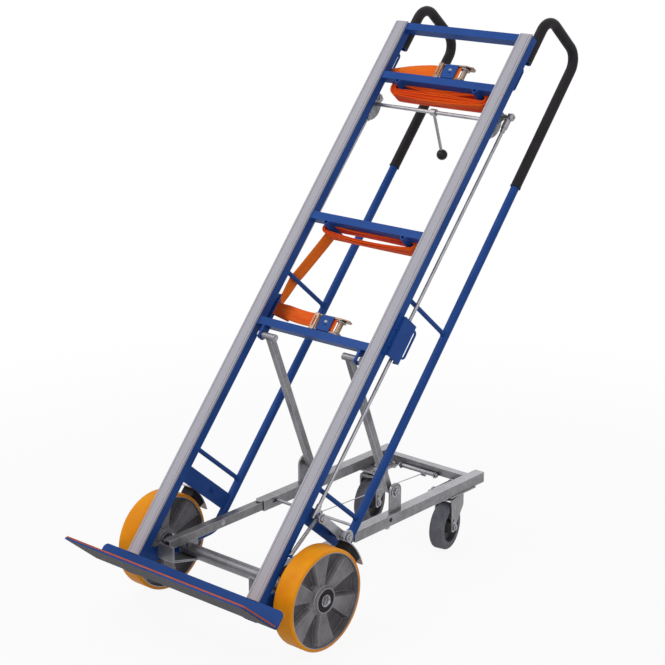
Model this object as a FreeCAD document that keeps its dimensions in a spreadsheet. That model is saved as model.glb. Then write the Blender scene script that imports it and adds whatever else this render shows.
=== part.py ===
import FreeCAD, Part
import math
import os
import re
import Sketcher

# Appliance hand truck, leaned back on its swing-out support frame.
# X runs across the truck, Y to the rear and Z up; the origin is on the floor under the middle of its box.
# Pieces of the leaned frame are drawn square, with their origin on the wheel axle, and then tilted by lean.

SIZES = {
    # stance
    "lean": 40.8,
    # rails and slide strips
    "rail_gauge": 400.0,
    "rail_width": 35.0,
    "rail_depth": 25.0,
    "rail_wall": 2.5,
    "rail_foot": 121.0,
    "head_rise": 153.0,
    "axle_setback": 142.0,
    "strip_thickness": 6.5,
    "strip_rise": 3.0,
    "strip_edge": 5.0,
    "strip_groove": 1.2,
    "strip_chamfer": 5.0,
    # crossbars, given by their upper edges
    "bar_height": 21.0,
    "bar_wall": 2.0,
    "upper_bar": 1341.0,
    "middle_bar": 908.0,
    "lower_bar": 596.0,
    # strap pegs under the upper and middle crossbars
    "peg_place": 125.0,
    "peg_width": 22.0,
    "peg_drop": 13.0,
    "peg_wall": 4.0,
    "peg_reach": 60.0,
    # toe plate and mat
    "toe_width": 598.0,
    "toe_depth": 144.0,
    "toe_thickness": 4.0,
    "toe_flange": 45.0,
    "toe_drop": 123.0,
    "toe_bend": 7.0,
    "toe_corner": 14.0,
    "mat_thickness": 4.0,
    "mat_inset": 2.5,
    # rear tubes, handles and grips
    "tube_diameter": 22.0,
    "tube_wall": 2.0,
    "tube_offset": 94.0,
    "handle_offset": 89.0,
    "handle_rise": 91.0,
    "handle_bend": 45.0,
    "handle_drop": 54.0,
    "handle_lug_width": 12.0,
    "handle_lug_rise": 12.0,
    "handle_lug_height": 36.0,
    "tube_knee": 88.0,
    "tube_knee_bend": 55.0,
    "grip_diameter": 27.0,
    "grip_foot": 1180.0,
    "grip_fit": 0.15,
    # braces between rails and rear tubes
    "brace_diameter": 12.0,
    "brace_high": 742.0,
    "brace_low": 227.0,
    # main wheels and axle
    "wheel_diameter": 250.0,
    "wheel_width": 58.0,
    "wheel_gauge": 522.0,
    "tread_thickness": 8.0,
    "tread_round": 5.0,
    "rim_thickness": 6.0,
    "panel_width": 34.0,
    "hub_diameter": 62.0,
    "hub_length": 40.0,
    "pocket_depth": 14.0,
    "pocket_taper": 14.0,
    "pocket_angle": 32.0,
    "pocket_margin": 6.0,
    "pocket_count": 6.0,
    "bearing_diameter": 47.0,
    "bearing_width": 12.0,
    "axle_diameter": 20.0,
    "axle_stud": 13.0,
    "axle_end": 291.0,
    "spacer_diameter": 30.0,
    "washer_diameter": 30.0,
    "washer_thickness": 2.0,
    "nut_across": 22.0,
    "nut_height": 7.5,
    "axle_boss_diameter": 40.0,
    "axle_boss_length": 30.0,
    "axle_plate_thickness": 8.0,
    "axle_plate_foot": 112.0,
    "axle_plate_top": 60.0,
    # fits and clearances
    "running_fit": 0.05,
    "seat_gap": 0.3,
    "side_gap": 0.5,
    "overrun": 5.0,
    # swing-out support
    "support_gauge": 307.0,
    "support_rise": 44.0,
    "arm_size": 22.0,
    "arm_wall": 2.5,
    "arm_front": 87.0,
    "arm_rear": 318.0,
    "channel_wall": 2.5,
    "slide_gap": 0.75,
    "channel_front": 248.0,
    "channel_rear": 784.0,
    "tongue_reach": 12.0,
    "tongue_width": 20.0,
    "sleeve_diameter": 34.0,
    "wrap_width": 53.0,
    "wrap_thickness": 5.0,
    "wrap_heel": 9.0,
    "wrap_web": 6.0,
    "rearbar_size": 22.0,
    "rearbar_wall": 2.0,
    "rearbar_back": 745.0,
    # struts
    "lug_drop": 23.0,
    "lug_width": 24.0,
    "lug_thickness": 7.0,
    "lug_place": 154.0,
    "pin_diameter": 10.0,
    "pin_head": 6.0,
    "bush_diameter": 18.0,
    "bush_length": 42.0,
    "strut_width": 16.0,
    "strut_depth": 18.0,
    "bracket_back": 420.0,
    "bracket_height": 110.0,
    "bracket_width": 45.0,
    "bracket_thickness": 5.0,
    # latch
    "latch_back": 295.0,
    "latch_rise": 47.0,
    "latch_diameter": 8.0,
    "latch_travel": 12.0,
    "wire_diameter": 2.5,
    "eye_thickness": 4.0,
    "eye_width": 14.0,
    "eye_drop": 15.0,
    "latch_spring_left": 68.0,
    "latch_spring_right": 46.0,
    "latch_spring_diameter": 9.0,
    "latch_spring_wire": 1.8,
    "latch_spring_turns": 20.0,
    # casters
    "caster_gauge": 260.0,
    "caster_back": 692.0,
    "caster_turn": 12.0,
    "caster_diameter": 125.0,
    "caster_width": 38.0,
    "caster_round": 8.0,
    "caster_tread": 20.0,
    "caster_trail": 40.0,
    "caster_axle": 10.0,
    "caster_plate": 4.0,
    "caster_plate_width": 80.0,
    "caster_plate_length": 105.0,
    "race_diameter": 44.0,
    "race_height": 9.0,
    "fork_thickness": 4.0,
    "fork_gap": 2.5,
    "fork_width": 46.0,
    "fork_tip": 22.0,
    "kingpin_diameter": 12.0,
    # brake
    "rod_gauge": 430.0,
    "rod_diameter": 9.0,
    "rod_top_setback": 74.0,
    "rod_foot": 164.0,
    "rod_foot_setback": 87.0,
    "socket_diameter": 13.0,
    "socket_length": 36.0,
    "ball_stud_diameter": 7.0,
    "shaft_drop": 79.0,
    "shaft_setback": 92.5,
    "shaft_diameter": 10.0,
    "shaft_plate_radius": 44.0,
    "shaft_plate_drop": 89.0,
    "shaft_plate_thickness": 4.0,
    "shaft_plate_place": 194.0,
    "crank_thickness": 5.0,
    "crank_width": 12.0,
    "crank_rise": 27.0,
    "hand_lever_diameter": 8.0,
    "hand_collar_diameter": 18.0,
    "hand_collar_length": 16.0,
    "knob_drop": 63.0,
    "knob_back": 12.0,
    "knob_diameter": 29.0,
    "brake_plate_low": 138.0,
    "brake_plate_high": 181.0,
    "brake_plate_thickness": 6.0,
    "pivot_height": 162.0,
    "pivot_back": 14.0,
    "pivot_diameter": 12.0,
    "pivot_spacer": 18.0,
    "lever_hub_diameter": 24.0,
    "lever_hub_start": 231.0,
    "lever_hub_end": 255.0,
    "lever_thickness": 6.0,
    "lever_width": 20.0,
    "stud_nut_across": 13.0,
    "stud_nut_height": 6.0,
    "lever_place": 234.0,
    "pivot_head": 7.0,
    "shoe_gap": 0.4,
    "shoe_depth": 21.0,
    "shoe_width": 38.0,
    "shoe_start_angle": 2.0,
    "shoe_end_angle": 24.0,
    "shoe_plate": 3.0,
    "shoe_plate_start_angle": -4.0,
    "shoe_plate_end_angle": 33.0,
    "anchor_height": 50.0,
    "anchor_setback": 117.0,
    "anchor_diameter": 7.0,
    "anchor_length": 13.5,
    "spring_place": 226.5,
    "spring_diameter": 10.0,
    "spring_wire": 2.2,
    "spring_turns": 30.0,
    # strap loops and rod bridges
    "loop_wire": 6.0,
    "loop_bend": 8.0,
    "upper_loop_rise": 17.0,
    "upper_loop_height": 62.0,
    "upper_loop_setback": 86.0,
    "lower_loop_rise": 22.0,
    "lower_loop_fall": 10.0,
    "lower_loop_setback": 48.0,
    "bridge_drop": 12.0,
    "bridge_rise": 94.0,
    "bridge_back": 64.0,
    "bridge_place": 229.0,
    "bridge_wall": 3.0,
    "bridge_tab": 16.0,
    # ratchets
    "ratchet_place": 35.0,
    "ratchet_left": 55.0,
    "ratchet_right": 48.0,
    "ratchet_height": 46.0,
    "ratchet_depth": 28.0,
    "ratchet_back": 106.0,
    "ratchet_wall": 2.5,
    "spindle_place": 22.0,
    "spindle_diameter": 14.0,
    "journal_diameter": 8.0,
    "handle_tip": 40.0,
    "cover_left": 34.0,
    "cover_right": 6.0,
    "cover_thickness": 2.0,
    "strap_pin_place": 48.0,
    "strap_pin_diameter": 8.0,
    "rivet_diameter": 9.0,
    # straps
    "strap_width": 35.0,
    "strap_thickness": 1.6,
    "strap_setback": 84.5,
    "strap_pitch": 2.2,
    "diagonal_setback": 55.5,
    "upper_hank_loops": 8.0,
    "upper_hank_slack": 0.5,
    "upper_hank_sag": 6.0,
    "middle_hank_loops": 4.0,
    "middle_hank_slack": 1.0,
    "middle_hank_sag": 8.0,
}

doc = FreeCAD.newDocument("HandTruck")
sheet = doc.addObject("Spreadsheet::Sheet", "Sizes")
for row, (alias, number_value) in enumerate(SIZES.items(), 1):
    sheet.set(f"A{row}", alias)
    sheet.set(f"B{row}", str(number_value))
    sheet.setAlias(f"B{row}", alias)
doc.recompute()


# Expressions on the sheet
def sized(text):
    return re.sub(r"[a-z_]+", lambda word: "Sizes." + word[0] if word[0] in SIZES else word[0], str(text))


def number(text):
    result = sheet.evalExpression(sized(text))
    return float(getattr(result, "Value", result))


def vector(x, y, z):
    return FreeCAD.Vector(number(x), number(y), number(z))


def bind(part, **texts):
    for prop, text in texts.items():
        part.setExpression(prop, sized(text))
    return part


def base(part, x, y, z):
    for axis, text in zip("xyz", (x, y, z)):
        part.setExpression(f"Placement.Base.{axis}", sized(text))
    return part


# Plain solids
TURNS = {
    "x": FreeCAD.Rotation(FreeCAD.Vector(0, 1, 0), 90),
    "y": FreeCAD.Rotation(FreeCAD.Vector(1, 0, 0), -90),
    "z": FreeCAD.Rotation(),
}


def along(axis, start, across):
    first, second = across
    return {"x": (start, first, second), "y": (first, start, second), "z": (first, second, start)}[axis]


def block(x, y, z):
    part = doc.addObject("Part::Box", "block")
    bind(part, Length=f"({x[1]}) - ({x[0]})", Width=f"({y[1]}) - ({y[0]})", Height=f"({z[1]}) - ({z[0]})")
    return base(part, x[0], y[0], z[0])


def rod(axis, ends, across, diameter):
    part = doc.addObject("Part::Cylinder", "rod")
    bind(part, Radius=f"({diameter}) / 2", Height=f"({ends[1]}) - ({ends[0]})")
    part.Placement = FreeCAD.Placement(FreeCAD.Vector(), TURNS[axis])
    return base(part, *along(axis, ends[0], across))


def hexagon(axis, ends, across, width):
    part = doc.addObject("Part::Prism", "hexagon")
    part.Polygon = 6
    bind(part, Circumradius=f"({width}) / sqrt(3)", Height=f"({ends[1]}) - ({ends[0]})")
    part.Placement = FreeCAD.Placement(FreeCAD.Vector(), TURNS[axis])
    return base(part, *along(axis, ends[0], across))


def ball(x, y, z, diameter):
    part = bind(doc.addObject("Part::Sphere", "ball"), Radius=f"({diameter}) / 2")
    return base(part, x, y, z)


def join(*pieces):
    part = doc.addObject("Part::MultiFuse", "joined")
    part.Shapes = list(pieces)
    part.Refine = True
    return part


def cut(solid, *tools):
    for tool in tools:
        part = doc.addObject("Part::Cut", "cut")
        part.Base = solid
        part.Tool = tool
        solid = part
    return solid


def shared(first, second):
    part = doc.addObject("Part::Common", "shared")
    part.Base = first
    part.Tool = second
    return part


def ring(axis, ends, across, outer, inner):
    return cut(rod(axis, ends, across, outer), rod(axis, ends, across, inner))


def formed(shape):
    part = doc.addObject("Part::Feature", "formed")
    part.Shape = shape
    return part


def sides(side, inner, outer):
    return (f"{inner}", f"{outer}") if side > 0 else (f"-({outer})", f"-({inner})")


# Sketched solids: an outline of named places on a plane of the body, with round holes
PLANES = {"side": "YZ_Plane", "front": "XZ_Plane", "top": "XY_Plane"}


def sketch(body, plane, outline, offset, holes=()):
    drawing = body.newObject("Sketcher::SketchObject", "outline")
    drawing.AttachmentSupport = ([f for f in body.Origin.OriginFeatures if f.Role == PLANES[plane]][0],
                                 [""])
    drawing.MapMode = "FlatFace"
    drawing.setExpression("AttachmentOffset.Base.z", sized(offset))
    corners = [FreeCAD.Vector(number(u), number(v), 0) for u, v in outline]
    count = len(corners)
    for index, corner in enumerate(corners):
        drawing.addGeometry(Part.LineSegment(corner, corners[(index + 1) % count]), False)
    for index in range(count):
        drawing.addConstraint(Sketcher.Constraint("Coincident", index, 2, (index + 1) % count, 1))
    for index, place in enumerate(outline):
        fix(drawing, index, 1, place)
    for u, v, diameter in holes:
        centre = FreeCAD.Vector(number(u), number(v), 0)
        hole = drawing.addGeometry(Part.Circle(centre, FreeCAD.Vector(0, 0, 1), number(diameter) / 2),
                                   False)
        fix(drawing, hole, 3, (u, v))
        limit = drawing.addConstraint(Sketcher.Constraint("Diameter", hole, number(diameter)))
        drawing.setExpression(f"Constraints[{limit}]", sized(diameter))
    return drawing


def fix(drawing, geometry, point, place):
    for kind, text in zip(("DistanceX", "DistanceY"), place):
        limit = drawing.addConstraint(Sketcher.Constraint(kind, -1, 1, geometry, point, number(text)))
        drawing.setExpression(f"Constraints[{limit}]", sized(text))


def plate(plane, outline, low, high, holes=()):
    body = doc.addObject("PartDesign::Body", "plate")
    offset = f"-({high})" if plane == "front" else low
    pad = body.newObject("PartDesign::Pad", "pad")
    pad.Profile = sketch(body, plane, outline, offset, holes)
    bind(pad, Length=f"({high}) - ({low})")
    body.Tip = pad
    doc.recompute()
    return body


def soften(body, radius, *marks):
    """Rounds the edges along an axis that pass through the given places on the other two."""
    picked = []
    for axis, u, v in marks:
        target = [number(u), number(v)]
        for index, edge in enumerate(body.Tip.Shape.Edges, 1):
            ends = [[getattr(vertex, name) for name in "XYZ" if name != axis.upper()]
                    for vertex in edge.Vertexes]
            near = [max(abs(a - b) for a, b in zip(end, target)) < SIZES["running_fit"] for end in ends]
            if len(near) == 2 and all(near):
                picked.append(f"Edge{index}")
    return rounded(body, radius, picked)


def rounded(body, radius, edges):
    solid = body.Tip
    fillet = body.newObject("PartDesign::Fillet", "fillet")
    fillet.Base = (solid, edges)
    bind(fillet, Radius=radius)
    body.Tip = fillet
    doc.recompute()
    return body


def turned(outline):
    """A body turned about the X axis from an outline of (x, radius) places."""
    body = doc.addObject("PartDesign::Body", "turned")
    spin = body.newObject("PartDesign::Revolution", "spin")
    spin.Profile = sketch(body, "top", outline, "0")
    spin.ReferenceAxis = ([f for f in body.Origin.OriginFeatures if f.Role == "X_Axis"][0], [""])
    spin.Angle = 360
    body.Tip = spin
    doc.recompute()
    return body


def ring_edges(body, radius):
    return [f"Edge{index}" for index, edge in enumerate(body.Tip.Shape.Edges, 1)
            if isinstance(edge.Curve, Part.Circle)
            and abs(edge.Curve.Radius - number(radius)) < SIZES["running_fit"]]


# Bent tubes, coils and ribbons
def bent_wire(points, bends):
    edges = []
    start = points[0]
    for corner, after, bend in zip(points[1:-1], points[2:], bends):
        inward = (corner - start).normalize()
        outward = (after - corner).normalize()
        turn = inward.getAngle(outward)
        reach = bend * math.tan(turn / 2)
        first = corner - inward * reach
        last = corner + outward * reach
        middle = corner + (outward - inward).normalize() * (bend / math.cos(turn / 2) - bend)
        edges.append(Part.LineSegment(start, first).toShape())
        edges.append(Part.Arc(first, middle, last).toShape())
        start = last
    edges.append(Part.LineSegment(start, points[-1]).toShape())
    return Part.Wire(edges)


def piped(wire, diameter):
    first = wire.Edges[0]
    heading = first.tangentAt(first.FirstParameter)
    section = Part.Wire(Part.makeCircle(diameter / 2, first.valueAt(first.FirstParameter), heading))
    return wire.makePipeShell([section], True, False)


def mirrored(heading, chord):
    unit = FreeCAD.Vector(chord).normalize()
    return unit * (2 * heading.dot(unit)) - heading


def arc(start, heading, end):
    chord = end - start
    across = heading - chord * (heading.dot(chord) / chord.dot(chord))
    if across.Length < TINY:
        return Part.LineSegment(start, end).toShape()
    rise = chord.Length / 2 * math.tan(heading.getAngle(chord) / 2)
    return Part.Arc(start, start + chord / 2 + across.normalize() * rise, end).toShape()


def biarcs(points, headings):
    """Pairs of arcs through the points, each as its start, heading and end."""
    steps = []
    for start, end, first, last in zip(points, points[1:], headings, headings[1:]):
        span = end - start
        slope = span.dot(first + last)
        square = 2 * (first.dot(last) - 1)
        if abs(square) < TINY:
            reach = span.dot(span) / (2 * slope)
        else:
            reach = (slope - math.sqrt(slope * slope - square * span.dot(span))) / square
        middle = (start + end + (first - last) * reach) / 2
        steps.append((start, first, middle))
        steps.append((middle, mirrored(first, middle - start), end))
    return steps


def self_gap(label, path, thick, apart):
    """Prints the least gap, measured on points, between stretches that lie further apart along a path."""
    step = thick / 2
    cell = 2 * thick
    points = path.discretize(Distance=step)
    cells = {}
    for index, point in enumerate(points):
        cells.setdefault(tuple(math.floor(value / cell) for value in point), []).append(index)
    least = path.Length
    steps = (-1, 0, 1)
    for (x, y, z), here in cells.items():
        near = [index for i in steps for j in steps for k in steps
                for index in cells.get((x + i, y + j, z + k), ())]
        for first in here:
            for second in near:
                if (second - first) * step > apart:
                    least = min(least, points[first].distanceToPoint(points[second]))
    print(label, "least gap to itself", round(least - thick, 2), "on", len(points), "points")


def coil(start, end, diameter, wire, turns):
    """One unbroken wound wire between two points, with straight tails of one wire across."""
    axis = (end - start).normalize()
    guide = FreeCAD.Vector(0, 0, 1) if abs(axis.x) > abs(axis.z) else FreeCAD.Vector(1, 0, 0)
    first = (guide - axis * guide.dot(axis)).normalize()
    second = axis.cross(first)
    mean = (diameter - wire) / 2
    rise = (end - start).Length / turns
    points = []
    headings = []
    for half in range(int(round(2 * turns)) + 1):
        swing = first * (-1) ** half
        points.append(start + axis * (rise * half / 2) + swing * mean)
        tangent = second * (mean * (-1) ** half) + axis * (rise / (2 * math.pi))
        headings.append(tangent.normalize())
    edges = [Part.LineSegment(points[0] - headings[0] * wire, points[0]).toShape()]
    edges += [arc(*step) for step in biarcs(points, headings)]
    edges.append(Part.LineSegment(points[-1], points[-1] + headings[-1] * wire).toShape())
    path = Part.Wire(edges)
    self_gap("coil", path, wire, math.pi * mean)
    return piped(path, wire)


def ribbon(points, headings, width):
    """A flat strap along arcs, as wide as the width vector, which stands square to them."""
    flat = FreeCAD.Vector(width).normalize()
    steps = biarcs(points, headings)
    rims = []
    for half in (number("strap_thickness / 2"), number("-strap_thickness / 2")):
        edges = []
        for start, heading, end in steps:
            leaving = mirrored(heading, end - start)
            edges.append(arc(start + flat.cross(heading) * half, heading, end + flat.cross(leaving) * half))
        rims.append(edges)
    caps = []
    for edge in (0, -1):
        caps.append(Part.LineSegment(rims[0][edge].Vertexes[edge].Point,
                                     rims[1][edge].Vertexes[edge].Point).toShape())
    outline = Part.Wire(Part.__sortEdges__(rims[0] + rims[1] + caps))
    return Part.Face(outline).extrude(width)


def link(span, start, end, width):
    """A flat bar with round ends between two (y, z) places."""
    rise = f"(({end[1]}) - ({start[1]}))"
    run = f"(({end[0]}) - ({start[0]}))"
    angle = math.degrees(math.atan2(number(rise), number(run)))
    bar = doc.addObject("Part::Box", "bar")
    bind(bar, Length=f"({span[1]}) - ({span[0]})", Width=f"sqrt({rise} * {rise} + {run} * {run})",
         Height=width)
    turn = FreeCAD.Rotation(FreeCAD.Vector(1, 0, 0), angle)
    corner = turn.multVec(FreeCAD.Vector(0, 0, -number(width) / 2))
    bar.Placement = FreeCAD.Placement(vector(span[0], *start) + corner, turn)
    return join(bar, rod("x", span, start, width), rod("x", span, end, width))


# Nodes, each placed in the leaned frame, the level frame or at a caster
TINY = 1e-7
PAIR = (("left", -1), ("right", 1))
wheel_radius = "(wheel_diameter / 2)"
rail_head = "(upper_bar + head_rise)"
handle_top = f"({rail_head} + handle_rise)"
handle_end = f"({rail_head} - handle_drop)"
front_reach = "(toe_drop * sin(lean) + (axle_setback - strip_thickness + toe_depth) * cos(lean))"
rear_reach = (f"(({handle_top} - handle_bend) * sin(lean) + (tube_offset - handle_bend) * cos(lean)"
              " + handle_bend + grip_diameter / 2)")
axle_y = f"(({front_reach} - {rear_reach}) / 2)"
nodes = {}


def node(label, frame, *pieces):
    part = doc.addObject("Part::Compound", label)
    part.Label = label
    part.Links = list(pieces)
    axis = FreeCAD.Vector(0, 0, 1) if frame in ("left", "right") else FreeCAD.Vector(1, 0, 0)
    angle = {"truck": "-lean", "level": "0", "left": "caster_turn", "right": "caster_turn"}[frame]
    part.Placement = FreeCAD.Placement(FreeCAD.Vector(), FreeCAD.Rotation(axis, number(angle)))
    if frame in ("left", "right"):
        side = dict(PAIR)[frame]
        base(part, f"{side} * caster_gauge / 2", f"{axle_y} + caster_back", wheel_radius)
    else:
        base(part, "0", axle_y, wheel_radius)
    nodes[label] = part
    return part


# Named places of the leaned frame
rail_front = "(-(axle_setback - strip_thickness))"
rail_back = "(-(axle_setback - strip_thickness - rail_depth))"
rail_middle = "(-(axle_setback - strip_thickness - rail_depth / 2))"
rail_inner = "((rail_gauge - rail_width) / 2)"
rail_outer = "((rail_gauge + rail_width) / 2)"
tube_front = "(tube_offset - tube_diameter / 2 - seat_gap)"
shaft_height = "(upper_bar - shaft_drop)"
shaft = ("-shaft_setback", shaft_height)
rod_head = ("-rod_top_setback", f"({shaft_height} + crank_rise)")
rod_end = ("-rod_foot_setback", "rod_foot")
pivot = ("pivot_back", "pivot_height")
axle_bore = "(axle_diameter + 2 * running_fit)"

# Rails, with the plate that carries the brake shaft and the pin that anchors the return spring
for name, side in PAIR:
    outer = block(sides(side, rail_inner, rail_outer), (rail_front, rail_back), ("-rail_foot", rail_head))
    hollow = block(sides(side, f"{rail_inner} + rail_wall", f"{rail_outer} - rail_wall"),
                   (f"{rail_front} + rail_wall", f"{rail_back} - rail_wall"),
                   ("-rail_foot - overrun", f"{rail_head} - rail_wall"))
    across = sides(side, "shaft_plate_place", "shaft_plate_place + shaft_plate_thickness")
    middle = "(upper_bar - shaft_plate_drop)"
    disc = rod("x", across, (rail_back, middle), "2 * shaft_plate_radius")
    rear = block(across, (rail_back, f"{rail_back} + 2 * shaft_plate_radius"),
                 (f"{middle} - 2 * shaft_plate_radius", f"{middle} + 2 * shaft_plate_radius"))
    bearing = cut(shared(disc, rear), rod("x", across, shaft, "shaft_diameter + 2 * running_fit"))
    anchor = rod("x", sides(side, rail_outer, f"{rail_outer} + anchor_length"),
                 ("-anchor_setback", "anchor_height"), "anchor_diameter")
    node(f"{name}_rail", "truck", join(cut(outer, hollow), bearing, anchor))

# Slide strips on the rail fronts, with two fine grooves
strips = []
for name, side in PAIR:
    foot = "(toe_flange - toe_drop)"
    head = f"({rail_head} + strip_rise)"
    outline = [(rail_front, foot), ("-axle_setback", foot), ("-axle_setback", f"{head} - strip_chamfer"),
               ("-axle_setback + strip_chamfer", head), (rail_front, head)]
    strip = plate("side", outline, *sides(side, rail_inner, rail_outer))
    grooves = []
    for start in (f"{rail_inner} + strip_edge", f"{rail_outer} - strip_edge - strip_groove"):
        grooves.append(block(sides(side, start, f"{start} + strip_groove"),
                             ("-axle_setback - overrun", "-axle_setback + strip_groove"),
                             (f"{foot} - overrun", f"{head} + overrun")))
    strips.append(cut(strip, *grooves))
node("slide_strips", "truck", *strips)


# Crossbars between the rails
def crossbar(top):
    low = f"({top} - bar_height)"
    outer = block((f"-{rail_inner}", rail_inner), (rail_front, rail_back), (low, top))
    hollow = block((f"-{rail_inner} - overrun", f"{rail_inner} + overrun"),
                   (f"{rail_front} + bar_wall", f"{rail_back} - bar_wall"),
                   (f"{low} + bar_wall", f"{top} - bar_wall"))
    return cut(outer, hollow)


def pegs(top):
    low = f"({top} - bar_height)"
    made = []
    for name, side in PAIR:
        place = f"({side} * peg_place)"
        outline = [(f"{place} - peg_width / 2", low), (f"{place} - peg_width / 2 + peg_wall", low),
                   (place, f"{low} - peg_drop + peg_wall"), (f"{place} + peg_width / 2 - peg_wall", low),
                   (f"{place} + peg_width / 2", low), (place, f"{low} - peg_drop")]
        made.append(plate("front", outline, rail_front, f"({rail_back} + peg_reach)"))
    return made


node("top_crossbar", "truck", crossbar(rail_head))
node("upper_crossbar", "truck", join(crossbar("upper_bar"), *pegs("upper_bar")))
node("middle_crossbar", "truck", join(crossbar("middle_bar"), *pegs("middle_bar")))

lug_top = "(lower_bar - bar_height)"
lug_pivot = (rail_middle, f"({lug_top} - lug_drop)")
lugs = []
for name, side in PAIR:
    half = "(lug_width / 2)"
    outline = [(f"{rail_middle} - {half}", lug_top),
               (f"{rail_middle} - {half}", f"{lug_pivot[1]} - {half} / 2"),
               (f"{rail_middle} - {half} / 2", f"{lug_pivot[1]} - {half}"),
               (f"{rail_middle} + {half} / 2", f"{lug_pivot[1]} - {half}"),
               (f"{rail_middle} + {half}", f"{lug_pivot[1]} - {half} / 2"),
               (f"{rail_middle} + {half}", lug_top)]
    lugs.append(plate("side", outline, *sides(side, "lug_place", "lug_place + lug_thickness"),
                      holes=[(*lug_pivot, "pin_diameter + 2 * running_fit")]))
node("lower_crossbar", "truck", join(crossbar("lower_bar"), *lugs))

# Toe plate, bent up in front of the rail feet, and its mat
leaf_front = f"({rail_front} - toe_depth)"
leaf_top = "(toe_thickness - toe_drop)"
flange_top = "(toe_flange - toe_drop)"
flange_front = f"({rail_front} - toe_thickness)"
toe = plate("side", [(rail_front, "-toe_drop"), (leaf_front, "-toe_drop"), (leaf_front, leaf_top),
                     (flange_front, leaf_top), (flange_front, flange_top), (rail_front, flange_top)],
            "-toe_width / 2", "toe_width / 2")
soften(toe, "toe_bend", ("x", rail_front, "-toe_drop"))
soften(toe, "toe_bend - toe_thickness", ("x", flange_front, leaf_top))
soften(toe, "toe_corner", ("z", "-toe_width / 2", leaf_front), ("z", "toe_width / 2", leaf_front),
       ("y", "-toe_width / 2", flange_top), ("y", "toe_width / 2", flange_top))
node("toe_plate", "truck", toe)
mat_side = "(toe_width / 2 - mat_inset)"
mat_front = f"({leaf_front} + mat_inset)"
mat = plate("top", [(f"-{mat_side}", mat_front), (mat_side, mat_front),
                    (mat_side, f"{rail_front} - toe_bend"), (f"-{mat_side}", f"{rail_front} - toe_bend")],
            leaf_top, f"({leaf_top} + mat_thickness)")
soften(mat, "toe_corner - mat_inset", ("z", f"-{mat_side}", mat_front), ("z", mat_side, mat_front))
node("toe_mat", "truck", mat)

# Rear tubes that bend over into the handles, their weld lugs and the grips
grips = []
for name, side in PAIR:
    across = f"{side} * rail_gauge / 2"
    slant = "sqrt(tube_offset * tube_offset + tube_knee * tube_knee)"
    stop = f"((axle_boss_diameter / 2 + seat_gap) / {slant})"
    stations = [vector(across, "-handle_offset", handle_end), vector(across, "-handle_offset", handle_top),
                vector(across, "tube_offset", handle_top), vector(across, "tube_offset", "tube_knee"),
                vector(across, f"tube_offset * {stop}", f"tube_knee * {stop}")]
    path = bent_wire(stations, [number("handle_bend"), number("handle_bend"), number("tube_knee_bend")])
    outer = piped(path, number("tube_diameter"))
    bore = piped(path, number("tube_diameter - 2 * tube_wall"))
    lug_low = f"({handle_end} + handle_lug_rise)"
    lug_high = f"({lug_low} + handle_lug_height)"
    lug = block((f"{across} - handle_lug_width / 2", f"{across} + handle_lug_width / 2"),
                (rail_back, "-handle_offset - tube_diameter / 2 + 2 * tube_wall"), (lug_low, lug_high))
    node(f"{name}_rear_tube", "truck", join(formed(outer.cut(bore)), lug))
    start = vector(across, "-handle_offset", f"{handle_end} + seat_gap")
    hold = bent_wire([start, stations[1], stations[2], vector(across, "tube_offset", "grip_foot")],
                     [number("handle_bend"), number("handle_bend")])
    sheath = piped(hold, number("grip_diameter")).cut(piped(hold, number("tube_diameter + 2 * grip_fit")))
    slot = block((f"{across} - handle_lug_width / 2 - seat_gap",
                  f"{across} + handle_lug_width / 2 + seat_gap"),
                 (rail_back, "-handle_offset"), (f"{handle_end} - overrun", f"{lug_high} + seat_gap"))
    grips.append(cut(formed(sheath), slot))
node("hand_grips", "truck", *grips)

# Braces from the rails to the rear tubes
node("side_braces", "truck",
     *[rod("y", (rail_back, tube_front), (f"{side} * rail_gauge / 2", height), "brace_diameter")
                               for name, side in PAIR for height in ("brace_high", "brace_low")])

# Brake plates with the studs that the brake levers turn on
plates = []
for name, side in PAIR:
    face = "(rail_gauge / 2 + brake_plate_thickness / 2)"
    flat = plate("side", [(rail_back, "brake_plate_low"), (tube_front, "brake_plate_low"),
                          (tube_front, "brake_plate_high"), (rail_back, "brake_plate_high")],
                 *sides(side, "rail_gauge / 2 - brake_plate_thickness / 2", face))
    collar = rod("x", sides(side, face, "lever_hub_start - seat_gap"), pivot, "pivot_spacer")
    stud = rod("x", sides(side, face, "lever_hub_end + seat_gap"), pivot, "pivot_diameter")
    head = hexagon("x", sides(side, "lever_hub_end + seat_gap", "lever_hub_end + seat_gap + pivot_head"),
                   pivot, "pivot_spacer")
    plates.append(join(flat, collar, stud, head))
node("brake_plates", "truck", *plates)

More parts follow.
